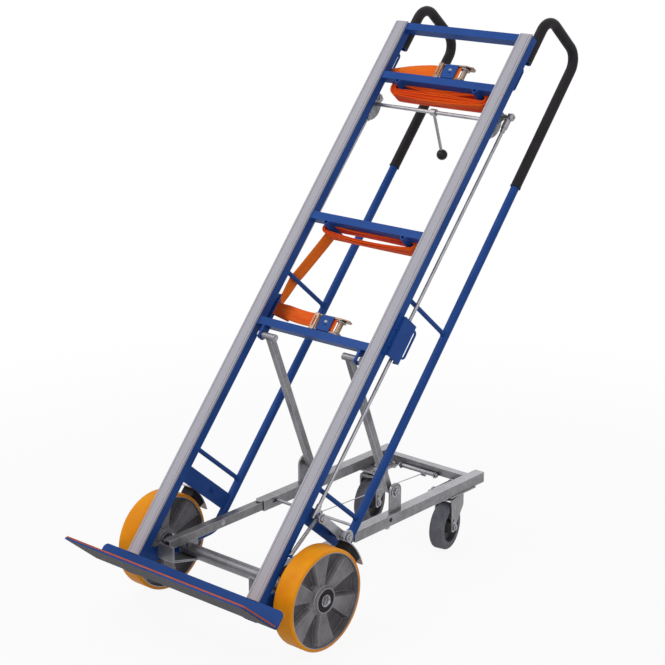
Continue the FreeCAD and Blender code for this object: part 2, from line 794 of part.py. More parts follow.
# Axle, its plates on the rail feet, and the spacers, washers and nuts
boss_start = "(rail_gauge / 2 - axle_boss_length / 2)"
boss_end = "(rail_gauge / 2 + axle_boss_length / 2)"
hub_start = "(wheel_gauge / 2 - hub_length / 2)"
hub_end = "(wheel_gauge / 2 + hub_length / 2)"
node("axle", "truck", join(rod("x", (f"-{hub_end}", hub_end), ("0", "0"), "axle_diameter"),
                           rod("x", ("-axle_end", "axle_end"), ("0", "0"), "axle_stud")))
stud_bore = "(axle_stud + 2 * running_fit)"
holders = []
fittings = []
for name, side in PAIR:
    flat = plate("side", [(rail_back, "-axle_plate_foot"), (rail_back, "-axle_plate_top"),
                          ("0", "axle_boss_diameter / 2 - axle_plate_thickness / 4"),
                          ("0", "-axle_boss_diameter / 2 + axle_plate_thickness / 4")],
                 *sides(side, "rail_gauge / 2 - axle_plate_thickness / 2",
                        "rail_gauge / 2 + axle_plate_thickness / 2"))
    boss = rod("x", sides(side, boss_start, boss_end), ("0", "0"), "axle_boss_diameter")
    holders.append(cut(join(flat, boss),
                       rod("x", sides(side, boss_start, boss_end), ("0", "0"), axle_bore)))
    fittings.append(ring("x", sides(side, boss_end, f"{hub_start} - seat_gap"), ("0", "0"),
                         "spacer_diameter", axle_bore))
    outside = f"({hub_end} + seat_gap)"
    fittings.append(ring("x", sides(side, outside, f"{outside} + washer_thickness"), ("0", "0"),
                         "washer_diameter", stud_bore))
    nut = sides(side, f"{outside} + washer_thickness", f"{outside} + washer_thickness + nut_height")
    fittings.append(cut(hexagon("x", nut, ("0", "0"), "nut_across"), rod("x", nut, ("0", "0"), stud_bore)))
node("axle_plates", "truck", *holders)
node("axle_fittings", "truck", *fittings)

# Main wheels: tread, cast hub with six sloping pockets a side, and bearings
tread_inner = f"({wheel_radius} - tread_thickness)"
rim_inner = f"({tread_inner} - rim_thickness)"
half_wide = "(wheel_width / 2)"
half_panel = "(panel_width / 2)"
half_hub = "(hub_length / 2)"
for name, side in PAIR:
    place = f"({side} * wheel_gauge / 2)"
    tread = turned([(f"-{half_wide}", tread_inner), (half_wide, tread_inner),
                    (half_wide, wheel_radius), (f"-{half_wide}", wheel_radius)])
    rounded(tread, "tread_round", ring_edges(tread, wheel_radius))
    base(tread, place, "0", "0")
    node(f"{name}_tyre", "truck", tread)
    lip = "(hub_diameter / 2)"
    bore = "(bearing_diameter / 2)"
    step = "(hub_length - panel_width)"
    hub = turned([(f"-{half_hub}", bore), (half_hub, bore), (half_hub, lip),
                  (half_panel, f"{lip} + {step} / 2"),
                  (half_panel, f"{rim_inner} - {step}"), (half_wide, rim_inner), (half_wide, tread_inner),
                  (f"-{half_wide}", tread_inner), (f"-{half_wide}", rim_inner),
                  (f"-{half_panel}", f"{rim_inner} - {step}"),
                  (f"-{half_panel}", f"{lip} + {step} / 2"), (f"-{half_hub}", lip)])
    near = f"({lip} + pocket_margin)"
    far = f"({rim_inner} - {step} - pocket_margin / 2)"
    wide = "(pocket_angle / 2)"
    shape = [(f"{near} * cos({wide})", f"-{near} * sin({wide})"),
             (f"{far} * cos({wide})", f"-{far} * sin({wide})"),
             (far, "0"), (f"{far} * cos({wide})", f"{far} * sin({wide})"),
             (f"{near} * cos({wide})", f"{near} * sin({wide})")]
    pockets = []
    for face in (1, -1):
        pocket = hub.newObject("PartDesign::Pocket", "pocket")
        pocket.Profile = sketch(hub, "side", shape, f"{face} * {half_panel}")
        pocket.Reversed = face < 0
        bind(pocket, Length="pocket_depth", TaperAngle="-pocket_taper")
        hub.Tip = pocket
        doc.recompute()
        pockets.append(pocket)
    polar = hub.newObject("PartDesign::PolarPattern", "polar")
    polar.Originals = pockets
    polar.Axis = ([f for f in hub.Origin.OriginFeatures if f.Role == "X_Axis"][0], [""])
    polar.Angle = 360
    bind(polar, Occurrences="pocket_count")
    hub.Tip = polar
    doc.recompute()
    base(hub, place, "0", "0")
    node(f"{name}_hub", "truck", hub)
    races = []
    for face in (1, -1):
        ends = sides(face, f"{half_hub} - bearing_width", half_hub)
        races.append(ring("x", (f"{place} + ({ends[0]})", f"{place} + ({ends[1]})"), ("0", "0"),
                          "bearing_diameter - 2 * running_fit", axle_bore))
    node(f"{name}_bearings", "truck", *races)

# Strap loops on the rails and on the bridges over the pull rods
upper_loop = ("(upper_bar + upper_loop_rise)", "(upper_bar + upper_loop_rise + upper_loop_height)")
bridge_ends = ("(lower_bar - bridge_drop)", "(lower_bar + bridge_rise)")
lower_loop = (f"({bridge_ends[0]} + lower_loop_rise)", f"({bridge_ends[1]} - lower_loop_fall)")
loops = []
bridges = []
for name, side in PAIR:
    for across, root, reach, low, high in (
            (f"{side} * rail_gauge / 2", rail_back, "-upper_loop_setback", *upper_loop),
            (f"{side} * (bridge_place - loop_wire)", "-bridge_back", "-lower_loop_setback", *lower_loop)):
        path = bent_wire([vector(across, root, low), vector(across, reach, low),
                          vector(across, reach, high),
                          vector(across, root, high)], [number("loop_bend")] * 2)
        loops.append(formed(piped(path, number("loop_wire"))))
    wall = "bridge_wall"
    out = "bridge_place"
    fold = f"({rail_back} - {wall})"
    outline = [(rail_outer, f"{fold} - bridge_tab"), (f"{rail_outer} + {wall}", f"{fold} - bridge_tab"),
               (f"{rail_outer} + {wall}", f"{fold} - {wall}"), (out, f"{fold} - {wall}"),
               (out, "-bridge_back"),
               (f"rod_gauge / 2 - {wall}", "-bridge_back"),
               (f"rod_gauge / 2 - {wall}", f"-bridge_back - {wall}"),
               (f"{out} - {wall}", f"-bridge_back - {wall}"), (f"{out} - {wall}", fold), (rail_outer, fold)]
    bridges.append(plate("top", [(f"{side} * ({x})", y) for x, y in outline], *bridge_ends))
node("strap_loops", "truck", *loops)
node("rod_bridges", "truck", *bridges)

# Strut pins in the lugs under the lower crossbar
bush_end = "(lug_place - side_gap)"
bush_start = f"({bush_end} - bush_length)"
pins = []
for name, side in PAIR:
    outside = "(lug_place + lug_thickness + seat_gap)"
    pins.append(join(rod("x", sides(side, f"{bush_start} - side_gap", f"{outside} + pin_head"), lug_pivot,
                         "pin_diameter"),
                     hexagon("x", sides(side, outside, f"{outside} + pin_head"), lug_pivot,
                             "bush_diameter")))
node("strut_pins", "truck", *pins)

# Swing-out support: sleeve on the axle, arms, and channels that slide on the arms
arm_low = "(support_rise - arm_size / 2)"
arm_high = "(support_rise + arm_size / 2)"
channel_half = "(arm_size / 2 + slide_gap + channel_wall)"
channel_low = f"(support_rise - {channel_half})"
channel_high = f"(support_rise + {channel_half})"
sleeve_end = f"({boss_start} - side_gap)"
parts = [rod("x", (f"-{sleeve_end}", sleeve_end), ("0", "0"), "sleeve_diameter")]
arms = []
channels = []
for name, side in PAIR:
    across = f"({side} * support_gauge / 2)"
    nose = "(arm_front + wrap_thickness)"
    tail = "(sleeve_diameter / 2)"
    outline = [("-arm_front", "support_rise"), (f"-{nose}", "support_rise"),
               (f"-{nose}", "wrap_heel - wrap_thickness"),
               (f"-{tail} / 3", f"-{tail}"), (f"-{tail} / 3", f"-{tail} + wrap_thickness"),
               ("-arm_front", "wrap_heel")]
    parts.append(plate("side", outline, f"({across} - wrap_width / 2)", f"({across} + wrap_width / 2)"))
    parts.append(block((f"{across} - wrap_web / 2", f"{across} + wrap_web / 2"), (f"-{tail}", tail),
                       (f"({tail} + axle_diameter / 2) / 2", arm_low)))
    arm = block((f"{across} - arm_size / 2", f"{across} + arm_size / 2"), ("-arm_front", "arm_rear"),
                (arm_low, arm_high))
    bore = "(arm_size / 2 - arm_wall)"
    arms.append(cut(arm,
                    block((f"{across} - {bore}", f"{across} + {bore}"),
                          ("-arm_front - overrun", "arm_rear + overrun"),
                               (f"support_rise - {bore}", f"support_rise + {bore}"))))
    inner = f"({channel_half} - channel_wall)"
    channel = block((f"{across} - {channel_half}", f"{across} + {channel_half}"),
                    ("channel_front", "channel_rear"),
                    (channel_low, channel_high))
    hollow = block((f"{across} - {inner}", f"{across} + {inner}"),
                   ("channel_front - overrun", "channel_rear - channel_wall"),
                   (f"support_rise - {inner}", f"support_rise + {inner}"))
    relief = block((f"{across} - wrap_web", f"{across} + wrap_web"),
                   ("channel_front - overrun", "channel_front + 2 * sleeve_diameter"),
                   (f"{channel_low} - overrun", f"{channel_low} + channel_wall"))
    clear = "(latch_diameter / 2 + side_gap)"
    wall = f"(support_gauge / 2 - {channel_half})"
    slot = block(sides(side, f"{wall} - overrun", f"{wall} + channel_wall"),
                 (f"latch_back - {clear} - latch_travel", f"latch_back + {clear}"),
                 (f"latch_rise - {clear}", f"latch_rise + {clear}"))
    top = (f"({channel_high} - channel_wall)", channel_high)
    tongue = block((f"{across} - tongue_width / 2", f"{across} + tongue_width / 2"),
                   ("channel_front - tongue_reach + tongue_width / 2", "channel_front"), top)
    tip = rod("z", top, (across, "channel_front - tongue_reach + tongue_width / 2"), "tongue_width")
    channels.append(join(cut(channel, hollow, relief, slot), cut(tip, hollow), cut(tongue, hollow)))
sleeve = cut(join(*parts), rod("x", (f"-{sleeve_end}", sleeve_end), ("0", "0"), axle_bore))
node("axle_sleeve", "level", sleeve)
node("support_arms", "level", *arms)
node("support_channels", "level", *channels)

# Rear crossbar with the latch eyes, and the latch spring between them
bar_half = "(rearbar_size / 2)"
bar_end = f"(support_gauge / 2 - {channel_half})"
bar_face = f"(rearbar_back - {bar_half})"
bore = f"({bar_half} - rearbar_wall)"
bar = cut(block((f"-{bar_end}", bar_end), (bar_face, f"rearbar_back + {bar_half}"),
                (f"support_rise - {bar_half}", f"support_rise + {bar_half}")),
          block((f"-{bar_end} - overrun", f"{bar_end} + overrun"),
                (f"rearbar_back - {bore}", f"rearbar_back + {bore}"),
                (f"support_rise - {bore}", f"support_rise + {bore}")))
eye_low = f"(support_rise - {bar_half} - eye_drop)"
guide_place = f"({eye_low} + eye_width / 2)"
guide = cut(block(("-eye_width / 2", "eye_width / 2"), (bar_face, f"{bar_face} + eye_thickness"),
                  (eye_low, f"support_rise - {bar_half}")),
            rod("y", (f"{bar_face} - overrun", f"{bar_face} + 2 * overrun"), ("0", guide_place),
                "2 * wire_diameter"))
spring_y = f"({bar_face} - eye_width / 2)"
spring_z = f"(support_rise - {bar_half} + eye_thickness / 2)"
hooks = []
for place in ("-latch_spring_left", "latch_spring_right"):
    hooks.append(block((f"{place} - eye_thickness / 2", f"{place} + eye_thickness / 2"),
                       (f"{bar_face} - eye_width", bar_face),
                       (f"{spring_z} - eye_width / 2", f"{spring_z} + eye_width / 2")))
node("rear_crossbar", "level", join(bar, guide, *hooks))
tight = "(eye_thickness / 2 + latch_spring_wire + seat_gap)"
node("latch_spring", "level", formed(coil(vector(f"-latch_spring_left + {tight}", spring_y, spring_z),
                                          vector(f"latch_spring_right - {tight}", spring_y, spring_z),
                                          number("latch_spring_diameter"), number("latch_spring_wire"),
                                          number("latch_spring_turns"))))

# Latch rod across the channels, pulled back by its wire
rod_tip = f"({bar_end} + channel_wall - side_gap)"
pull = rod("y", ("latch_back - latch_diameter", "latch_back + 2 * latch_diameter"), ("0", "latch_rise"),
           "1.5 * latch_diameter")
latch = join(rod("x", (f"-{rod_tip}", rod_tip), ("latch_back", "latch_rise"), "latch_diameter"), pull)
node("latch_rod", "level", latch)
wire_start = vector("0", "latch_back + 2 * latch_diameter", "latch_rise")
wire_stop = f"({bar_face} + eye_thickness + latch_travel + 2 * wire_diameter)"
wire_end = vector("0", wire_stop, guide_place)
wire = Part.makeCylinder(number("wire_diameter / 2"), (wire_end - wire_start).Length, wire_start,
                         wire_end - wire_start)
node("latch_wire", "level",
     cut(join(formed(wire), ball("0", wire_stop, guide_place, "3 * wire_diameter")), pull))

# Struts from the lower crossbar down to the brackets on the channels
lug_level = (f"(({lug_pivot[1]}) * sin(lean) + ({lug_pivot[0]}) * cos(lean))",
             f"(({lug_pivot[1]}) * cos(lean) - ({lug_pivot[0]}) * sin(lean))")
foot = ("bracket_back", "bracket_height")
strut_inner = f"(support_gauge / 2 - {channel_half} - side_gap - strut_width)"
struts = []
brackets = []
for name, side in PAIR:
    body = link(sides(side, strut_inner, f"{strut_inner} + strut_width"), lug_level, foot, "strut_depth")
    bush = rod("x", sides(side, bush_start, bush_end), lug_level, "bush_diameter")
    ends = sides(side, bush_start, bush_end)
    struts.append(cut(join(body, bush), rod("x", ends, lug_level, "pin_diameter + 2 * running_fit"),
                      rod("x", ends, foot, "pin_diameter + 2 * running_fit")))
    flat = sides(side, "support_gauge / 2 - bracket_thickness / 2",
                 "support_gauge / 2 + bracket_thickness / 2")
    ear = block(flat, ("bracket_back - bracket_width / 2", "bracket_back + bracket_width / 2"),
                (channel_high, "bracket_height"))
    crown = rod("x", flat, foot, "bracket_width")
    bolt = rod("x",
               sides(side, f"{strut_inner} + strut_width + side_gap", "support_gauge / 2 + pin_diameter"),
               foot, "pin_diameter")
    nut = hexagon("x", sides(side, "support_gauge / 2", "support_gauge / 2 + pin_diameter"), foot,
                  "bush_diameter")
    brackets.append(join(ear, crown, bolt, nut))
node("struts", "level", *struts)
node("strut_brackets", "level", *brackets)

# Casters: top plates under the channels, then forks and wheels about the swivel axis
tops = []
for name, side in PAIR:
    across = f"({side} * caster_gauge / 2)"
    flat = block((f"{across} - caster_plate_width / 2", f"{across} + caster_plate_width / 2"),
                 ("caster_back - caster_plate_length / 2", "caster_back + caster_plate_length / 2"),
                 (f"{channel_low} - caster_plate", channel_low))
    tops.append(cut(flat, rod("z", (f"{channel_low} - caster_plate", channel_low), (across, "caster_back"),
                              "kingpin_diameter + 2 * running_fit")))
node("caster_plates", "level", *tops)
race_top = f"({channel_low} - caster_plate - seat_gap)"
crown_top = f"({race_top} - race_height)"
caster_low = f"(caster_diameter / 2 - {wheel_radius})"
leg_start = "(caster_width / 2 + fork_gap)"
leg_end = f"({leg_start} + fork_thickness)"
for name, side in PAIR:
    race = rod("z", (crown_top, race_top), ("0", "0"), "race_diameter")
    crown = block((f"-{leg_end}", leg_end), ("-fork_width / 2", "fork_width / 2"),
                  (f"{crown_top} - fork_thickness", crown_top))
    kingpin = rod("z", (race_top, f"{channel_low} - seat_gap"), ("0", "0"), "kingpin_diameter")
    legs = []
    for face in (1, -1):
        bevel = "(fork_tip / 2)"
        outline = [("fork_width / 2", crown_top), ("-fork_width / 2", crown_top),
                   ("-caster_trail - fork_tip", f"{caster_low} + {bevel}"),
                   ("-caster_trail - fork_tip", f"{caster_low} - {bevel}"),
                   (f"-caster_trail - {bevel}", f"{caster_low} - fork_tip"),
                   (f"-caster_trail + {bevel}", f"{caster_low} - fork_tip"),
                   ("-caster_trail + fork_tip", f"{caster_low} - {bevel}"),
                   ("fork_width / 2", f"{crown_top} - fork_tip")]
        legs.append(plate("side", outline, *sides(face, leg_start, leg_end)))
        legs.append(hexagon("x", sides(face, leg_end, f"{leg_end} + fork_thickness"),
                            ("-caster_trail", caster_low),
                            "2 * caster_axle"))
    spindle = rod("x", (f"-{leg_end}", leg_end), ("-caster_trail", caster_low), "caster_axle")
    node(f"{name}_caster_fork", name, join(race, crown, kingpin, spindle, *legs))
    half = "(caster_width / 2)"
    outer = "(caster_diameter / 2)"
    inner = f"({outer} - caster_tread)"
    tread = turned([(f"-{half}", inner), (half, inner), (half, outer), (f"-{half}", outer)])
    rounded(tread, "caster_round", ring_edges(tread, outer))
    base(tread, "0", "-caster_trail", caster_low)
    node(f"{name}_caster_tyre", name, tread)
    bore = "(caster_axle / 2 + running_fit)"
    boss = "(1.5 * caster_axle)"
    long = f"({leg_start} - side_gap)"
    thin = "(caster_width / 6)"
    rim = f"({inner} - fork_thickness)"
    wheel = turned([(f"-{long}", bore), (long, bore), (long, boss), (thin, f"{boss} + fork_thickness"),
                    (thin, rim),
                    (f"{half} - side_gap", f"{rim} + fork_gap"), (f"{half} - side_gap", inner),
                    (f"-{half} + side_gap", inner),
                    (f"-{half} + side_gap", f"{rim} + fork_gap"), (f"-{thin}", rim),
                    (f"-{thin}", f"{boss} + fork_thickness"),
                    (f"-{long}", boss)])
    base(wheel, "0", "-caster_trail", caster_low)
    node(f"{name}_caster_hub", name, wheel)

# Brake shaft with its cranks, and the hand lever with its knob
crank_start = "(shaft_plate_place + shaft_plate_thickness + side_gap)"
crank_end = f"({crank_start} + crank_thickness)"
stud_end = "(rod_gauge / 2 - socket_diameter / 2 - side_gap)"
pieces = [rod("x", (f"-{crank_end}", crank_end), shaft, "shaft_diameter")]
for name, side in PAIR:
    pieces.append(link(sides(side, crank_start, crank_end), shaft, rod_head, "crank_width"))
    pieces.append(rod("x", sides(side, crank_end, stud_end), rod_head, "ball_stud_diameter"))
node("brake_shaft", "truck", join(*pieces))
collar = rod("x", ("-hand_collar_length / 2", "hand_collar_length / 2"), shaft, "hand_collar_diameter")
knob_place = ("0", "knob_back", f"({shaft_height} - knob_drop)")
knob = vector(*knob_place)
root = vector("0", *shaft)
aim = (knob - root).normalize()
lever = Part.makeCylinder(number("hand_lever_diameter / 2"), (knob - root).Length, root, aim)
drilled = Part.makeCylinder(number("hand_lever_diameter / 2 + running_fit"), number("knob_diameter"),
                            knob - aim * number("knob_diameter"), aim)
bore = rod("x", ("-hand_collar_length / 2", "hand_collar_length / 2"), shaft,
           "shaft_diameter + 2 * running_fit")
node("hand_lever", "truck", cut(join(collar, formed(lever)), bore))
node("lever_knob", "truck", cut(ball(*knob_place, "knob_diameter"), formed(drilled)))

# Pull rods down both sides, with a socket at each end
pulls = []
for name, side in PAIR:
    across = f"{side} * rod_gauge / 2"
    head = vector(across, *rod_head)
    end = vector(across, *rod_end)
    down = (end - head).normalize()
    over = number("ball_stud_diameter")
    shank = Part.makeCylinder(number("rod_diameter / 2"), (end - head).Length, head, down)
    for place, way in ((head, down), (end, down * -1)):
        shank = shank.fuse(Part.makeCylinder(number("socket_diameter / 2"), number("socket_length"),
                                             place - way * over, way))
    pulls.append(formed(shank.removeSplitter()))
node("brake_rods", "truck", *pulls)

# Brake levers on the studs, with the shoes over the tyres
levers = []
shoes = []
backs = []
springs = []
for name, side in PAIR:
    flat = sides(side, "lever_place", "lever_place + lever_thickness")
    arm = link(flat, rod_end, pivot, "lever_width")
    hub = rod("x", sides(side, "lever_hub_start", "lever_hub_end"), pivot, "lever_hub_diameter")
    stud = rod("x", sides(side, "rod_gauge / 2 + socket_diameter / 2 + side_gap", "lever_place"), rod_end,
               "ball_stud_diameter")
    nut = hexagon("x",
                  sides(side, "lever_place + lever_thickness",
                        "lever_place + lever_thickness + stud_nut_height"),
                  rod_end, "stud_nut_across")
    bore = rod("x", sides(side, "lever_hub_start", "lever_hub_end"), pivot,
               "pivot_diameter + 2 * running_fit")
    levers.append(cut(join(arm, hub, stud, nut), bore))
    place = f"({side} * wheel_gauge / 2)"
    inside = f"({wheel_radius} + shoe_gap)"
    outside = f"({inside} + shoe_depth)"
    half = "(shoe_width / 2)"
    for made, low, high, start, end in (
            (shoes, inside, outside, "shoe_start_angle", "shoe_end_angle"),
            (backs, outside, f"({outside} + shoe_plate)", "shoe_plate_start_angle",
             "shoe_plate_end_angle")):
        sector = turned([(f"-{half}", low), (half, low), (half, high), (f"-{half}", high)])
        bind(sector.Tip, Angle=f"({end}) - ({start})")
        sector.Placement = FreeCAD.Placement(FreeCAD.Vector(),
                                             FreeCAD.Rotation(FreeCAD.Vector(1, 0, 0),
                                                              number(f"90 - {end}")))
        base(sector, place, "0", "0")
        made.append(sector)
    lean_in = vector(f"{side} * spring_place", "-anchor_setback", "anchor_height")
    lean_out = vector(f"{side} * spring_place", *rod_end)
    draw = (lean_out - lean_in).normalize()
    lift = number("anchor_diameter / 2 + spring_wire / 2 + seat_gap")
    drop = number("ball_stud_diameter / 2 + spring_diameter / 2")
    springs.append(formed(coil(lean_in + draw * lift, lean_out - draw * drop, number("spring_diameter"),
                               number("spring_wire"), number("spring_turns"))))
node("brake_levers", "truck", *levers)
node("brake_shoes", "truck", *shoes)
node("shoe_plates", "truck", *backs)
node("return_springs", "truck", *springs)

# Ratchets on the lower and upper crossbars
def ratchet_at(place):
    return f"(ratchet_place + {place})"


back = "(-ratchet_back)"
front = "(-(ratchet_back + ratchet_depth))"
centre = "(-(ratchet_back + ratchet_depth / 2))"
frames = []
for name, top in (("upper", "upper_bar"), ("lower", "lower_bar")):
    wall = "ratchet_wall"
    left = ratchet_at("-ratchet_left")
    right = ratchet_at("ratchet_right")
    turn_at = ratchet_at("spindle_place")
    high = f"({top} + ratchet_height)"
    clip = "(ratchet_depth / 4)"
    outline = [(left, back), (f"{right} - {clip}", back), (right, f"{back} - {clip}"),
               (right, f"{front} + {clip}"), (f"{turn_at} + {clip}", f"{front} + {wall}"),
               (f"{left} + {clip}", f"{front} + {clip}"), (left, centre)]
    turn_hole = [(turn_at, centre, "journal_diameter + 2 * running_fit")]
    cheeks = [plate("top", outline, low, f"({low} + {wall})", holes=turn_hole)
              for low in (top, f"({high} - {wall})")]
    spine = block((left, ratchet_at("-cover_right")), (f"{back} - {wall}", back),
                  (f"{top} + {wall}", f"{high} - {wall}"))
    strap_pin = rod("z", (top, high), (ratchet_at("-strap_pin_place"), centre), "strap_pin_diameter")
    frames.append(join(*cheeks, spine, strap_pin))
    low_arm = f"({top} + {wall} + seat_gap)"
    high_arm = f"({high} - {wall} - seat_gap)"
    face = f"({front} + cover_thickness)"
    tip = ratchet_at("-handle_tip")
    grip = [(f"{turn_at} + {clip}", f"{centre} + {clip}"), (tip, f"{centre} + {wall}"), (tip, face),
            (f"{turn_at} + {clip}", face)]
    arms = [plate("top", grip, low, f"({low} + {wall})") for low in (low_arm, f"({high_arm} - {wall})")]
    drum = rod("z", (low_arm, high_arm), (turn_at, centre), "spindle_diameter")
    journal = rod("z", (top, high), (turn_at, centre), "journal_diameter")
    pull_bar = rod("z", (low_arm, high_arm), (f"{tip} + {clip} / 2", f"{centre} - {wall}"),
                   "journal_diameter")
    node(f"{name}_ratchet_handle", "truck", join(*arms, drum, journal, pull_bar))
    cover = block((ratchet_at("-cover_left"), ratchet_at("cover_right")), (front, face),
                  (low_arm, high_arm))
    rivet = rod("y", (f"{front} - cover_thickness", front),
                (ratchet_at("(cover_right - cover_left) / 2"), f"({top} + {high}) / 2"),
                "rivet_diameter")
    node(f"{name}_ratchet_cover", "truck", join(cover, rivet))
node("ratchet_frames", "truck", *frames)


# Straps: hanks wound over the pegs, and the runs from the ratchets round the left loops
def hank(top, loops, slack, sag):
    low = f"({top} - bar_height)"
    right = number("peg_place + peg_width / 2")
    crest = number(f"{low} + strap_thickness / 2 + seat_gap")
    belly = number(f"{low} - peg_drop - strap_thickness / 2 - seat_gap - {slack}")
    pitch = number("strap_pitch")
    fall = number(sag)
    slope = 2 * math.atan(fall / right)
    here = number("-strap_setback - strap_width / 2")
    count = int(round(number(loops)))
    points = []
    headings = []
    for turn in range(count):
        for x, z, way in ((-right, crest + pitch * turn, 0), (right, crest + pitch * turn, 0),
                          (right, belly - pitch * turn, math.pi + slope),
                          (0, belly - fall - pitch * turn, math.pi),
                          (-right, belly - pitch * turn, math.pi - slope)):
            points.append(FreeCAD.Vector(x, here, z))
            headings.append(FreeCAD.Vector(math.cos(way), 0, math.sin(way)))
    path = Part.Wire([arc(*step) for step in biarcs(points, headings)])
    self_gap("hank", path, number("strap_thickness"), number("peg_width"))
    bulge = (crest - belly) / 2 + pitch * count
    wound = formed(ribbon(points, headings, FreeCAD.Vector(0, number("strap_width"), 0)))
    return wound, FreeCAD.Vector(-right - bulge, 0, (crest + belly) / 2)


upper_hank, upper_end = hank("upper_bar", "upper_hank_loops", "upper_hank_slack", "upper_hank_sag")
middle_hank, middle_end = hank("middle_bar", "middle_hank_loops", "middle_hank_slack", "middle_hank_sag")
node("upper_strap_hank", "truck", upper_hank)
node("middle_strap_hank", "truck", middle_hank)


def strap_run(top, across, setback, low, high):
    """From the pin of a ratchet, round a loop and back along itself."""
    start = vector(ratchet_at("-strap_pin_place - strap_pin_diameter / 2 - seat_gap"), centre,
                   f"{top} + ratchet_height / 2")
    bar = vector(across, setback, f"({low} + {high}) / 2")
    flat = FreeCAD.Vector(bar.x - start.x, 0, bar.z - start.z).normalize()
    depth = FreeCAD.Vector(0, 1, 0)
    up = flat.cross(depth) * -1
    skew = abs(flat.z) * number("strap_width / 2")
    wrap = number("loop_wire / 2 + strap_thickness / 2 + seat_gap") + skew
    run = (bar - start).dot(flat)
    rise = (bar - start).dot(depth)
    tilt = math.atan2(rise - wrap, run)
    there = flat * math.cos(tilt) + depth * math.sin(tilt)
    aside = depth * math.cos(tilt) - flat * math.sin(tilt)
    near = bar - aside * wrap
    far = bar + aside * wrap
    first = near - there * ((near - start).dot(there) - skew)
    points = [first, near, bar + there * wrap, far, far - there * (run / 2)]
    headings = [there, there, aside, there * -1, there * -1]
    width = up * number("strap_width")
    return formed(ribbon([point - width / 2 for point in points], headings, width))


def diagonal(start):
    """From the middle hank down past the outside of the upper brace to the bridge."""
    brace = vector("-rail_gauge / 2", "0", "brace_high")
    end = vector(f"strap_thickness - {rail_outer}", "0", f"{bridge_ends[1]} + strap_thickness + seat_gap")
    heading = ((brace - start).normalize() + (end - brace).normalize()).normalize()
    aside = FreeCAD.Vector(heading.z, 0, -heading.x)
    rest = brace + aside * number("brace_diameter / 2 + strap_thickness / 2 + seat_gap")
    headings = [mirrored(heading, rest - start), heading, mirrored(heading, end - rest)]
    edge = vector("0", "-diagonal_setback - strap_width / 2", "0")
    return formed(ribbon([point + edge for point in (start, rest, end)], headings,
                         vector("0", "strap_width", "0")))


left_loop = "-(bridge_place - loop_wire)"
runs = [strap_run("upper_bar", "-rail_gauge / 2", "-upper_loop_setback", *upper_loop),
        strap_run("lower_bar", left_loop, "-lower_loop_setback", *lower_loop), diagonal(middle_end)]
node("strap_runs", "truck", *runs)

# Check every object, then write one file for each node
doc.recompute()
for thing in doc.Objects:
    if "Invalid" in thing.State or "Error" in thing.State:
        raise RuntimeError(f"{thing.Name} {thing.TypeId} did not build")
os.makedirs("parts", exist_ok=True)
whole = FreeCAD.BoundBox()
for label, part in nodes.items():
    if part.Shape.isNull() or not part.Shape.isValid() or not part.Shape.Solids:
        raise RuntimeError(f"{label} has no valid shape")
    whole.add(part.Shape.BoundBox)
    part.Shape.exportStep(f"parts/{label}.step")
print(len(nodes), "nodes",
      [round(v, 1) for v in (whole.XMin, whole.XMax, whole.YMin, whole.YMax, whole.ZMin, whole.ZMax)])
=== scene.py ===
import math
import bpy
import bmesh
from mathutils import Matrix, Vector


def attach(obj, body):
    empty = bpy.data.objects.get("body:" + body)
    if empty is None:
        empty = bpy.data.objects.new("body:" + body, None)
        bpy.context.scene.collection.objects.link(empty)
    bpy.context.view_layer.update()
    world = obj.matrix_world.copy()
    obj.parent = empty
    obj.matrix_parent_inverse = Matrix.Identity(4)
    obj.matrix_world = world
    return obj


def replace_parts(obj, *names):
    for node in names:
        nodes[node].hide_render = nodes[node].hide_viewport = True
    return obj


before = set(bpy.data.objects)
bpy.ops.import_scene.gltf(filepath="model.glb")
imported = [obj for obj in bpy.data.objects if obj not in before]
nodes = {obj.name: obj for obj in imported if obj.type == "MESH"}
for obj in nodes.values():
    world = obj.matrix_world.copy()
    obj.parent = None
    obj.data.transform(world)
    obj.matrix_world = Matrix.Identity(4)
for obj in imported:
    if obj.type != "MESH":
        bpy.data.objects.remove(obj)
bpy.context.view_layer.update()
print("frame loaded with", len(nodes), "nodes")

stance = {"lean": 40.8, "axleY": -0.404955, "axleZ": 0.125}  # the truck leans back about its wheel axle
axlePoint = Vector((0, stance["axleY"], stance["axleZ"]))
leanTurn = -math.radians(stance["lean"])
level = Matrix.Translation(axlePoint)  # across, back and up from the axle
truck = level @ Matrix.Rotation(leanTurn, 4, "X")  # across, back and up along the rails
sides = {"left": -1, "right": 1}
pair = tuple(sides.values())

# places that several pieces share
crossbars = {"top": 1.494, "upper": 1.341, "middle": 0.908, "lower": 0.596}  # upper faces, along the rails
barHeight = 0.021
wheelMiddle = 0.261  # across
casterStem = (0.13, 0.692)  # across and back
rodTop = (-0.074, 1.289)  # back and up
rodFoot = (-0.087, 0.164)


# camera, at the picture's angle
shot = {"from": (2.7698, -3.25206, 1.9338), "to": (-0.00166, -0.04738, 0.63945), "lens": 96.06, "sensor": 36,
        "clip": 100}


def standAt(thing, spot, target):  # a camera or lamp, turned to its target
    bpy.context.scene.collection.objects.link(thing)
    thing.location = spot
    thing.rotation_mode = "QUATERNION"
    thing.rotation_quaternion = (Vector(target) - Vector(spot)).to_track_quat("-Z", "Y")


def makeCamera():
    lens = bpy.data.cameras.new("camera")
    lens.lens = shot["lens"]
    lens.sensor_width = shot["sensor"]
    lens.clip_end = shot["clip"]
    camera = bpy.data.objects.new("camera", lens)
    standAt(camera, shot["from"], shot["to"])
    bpy.context.scene.camera = camera


makeCamera()
print("camera set")


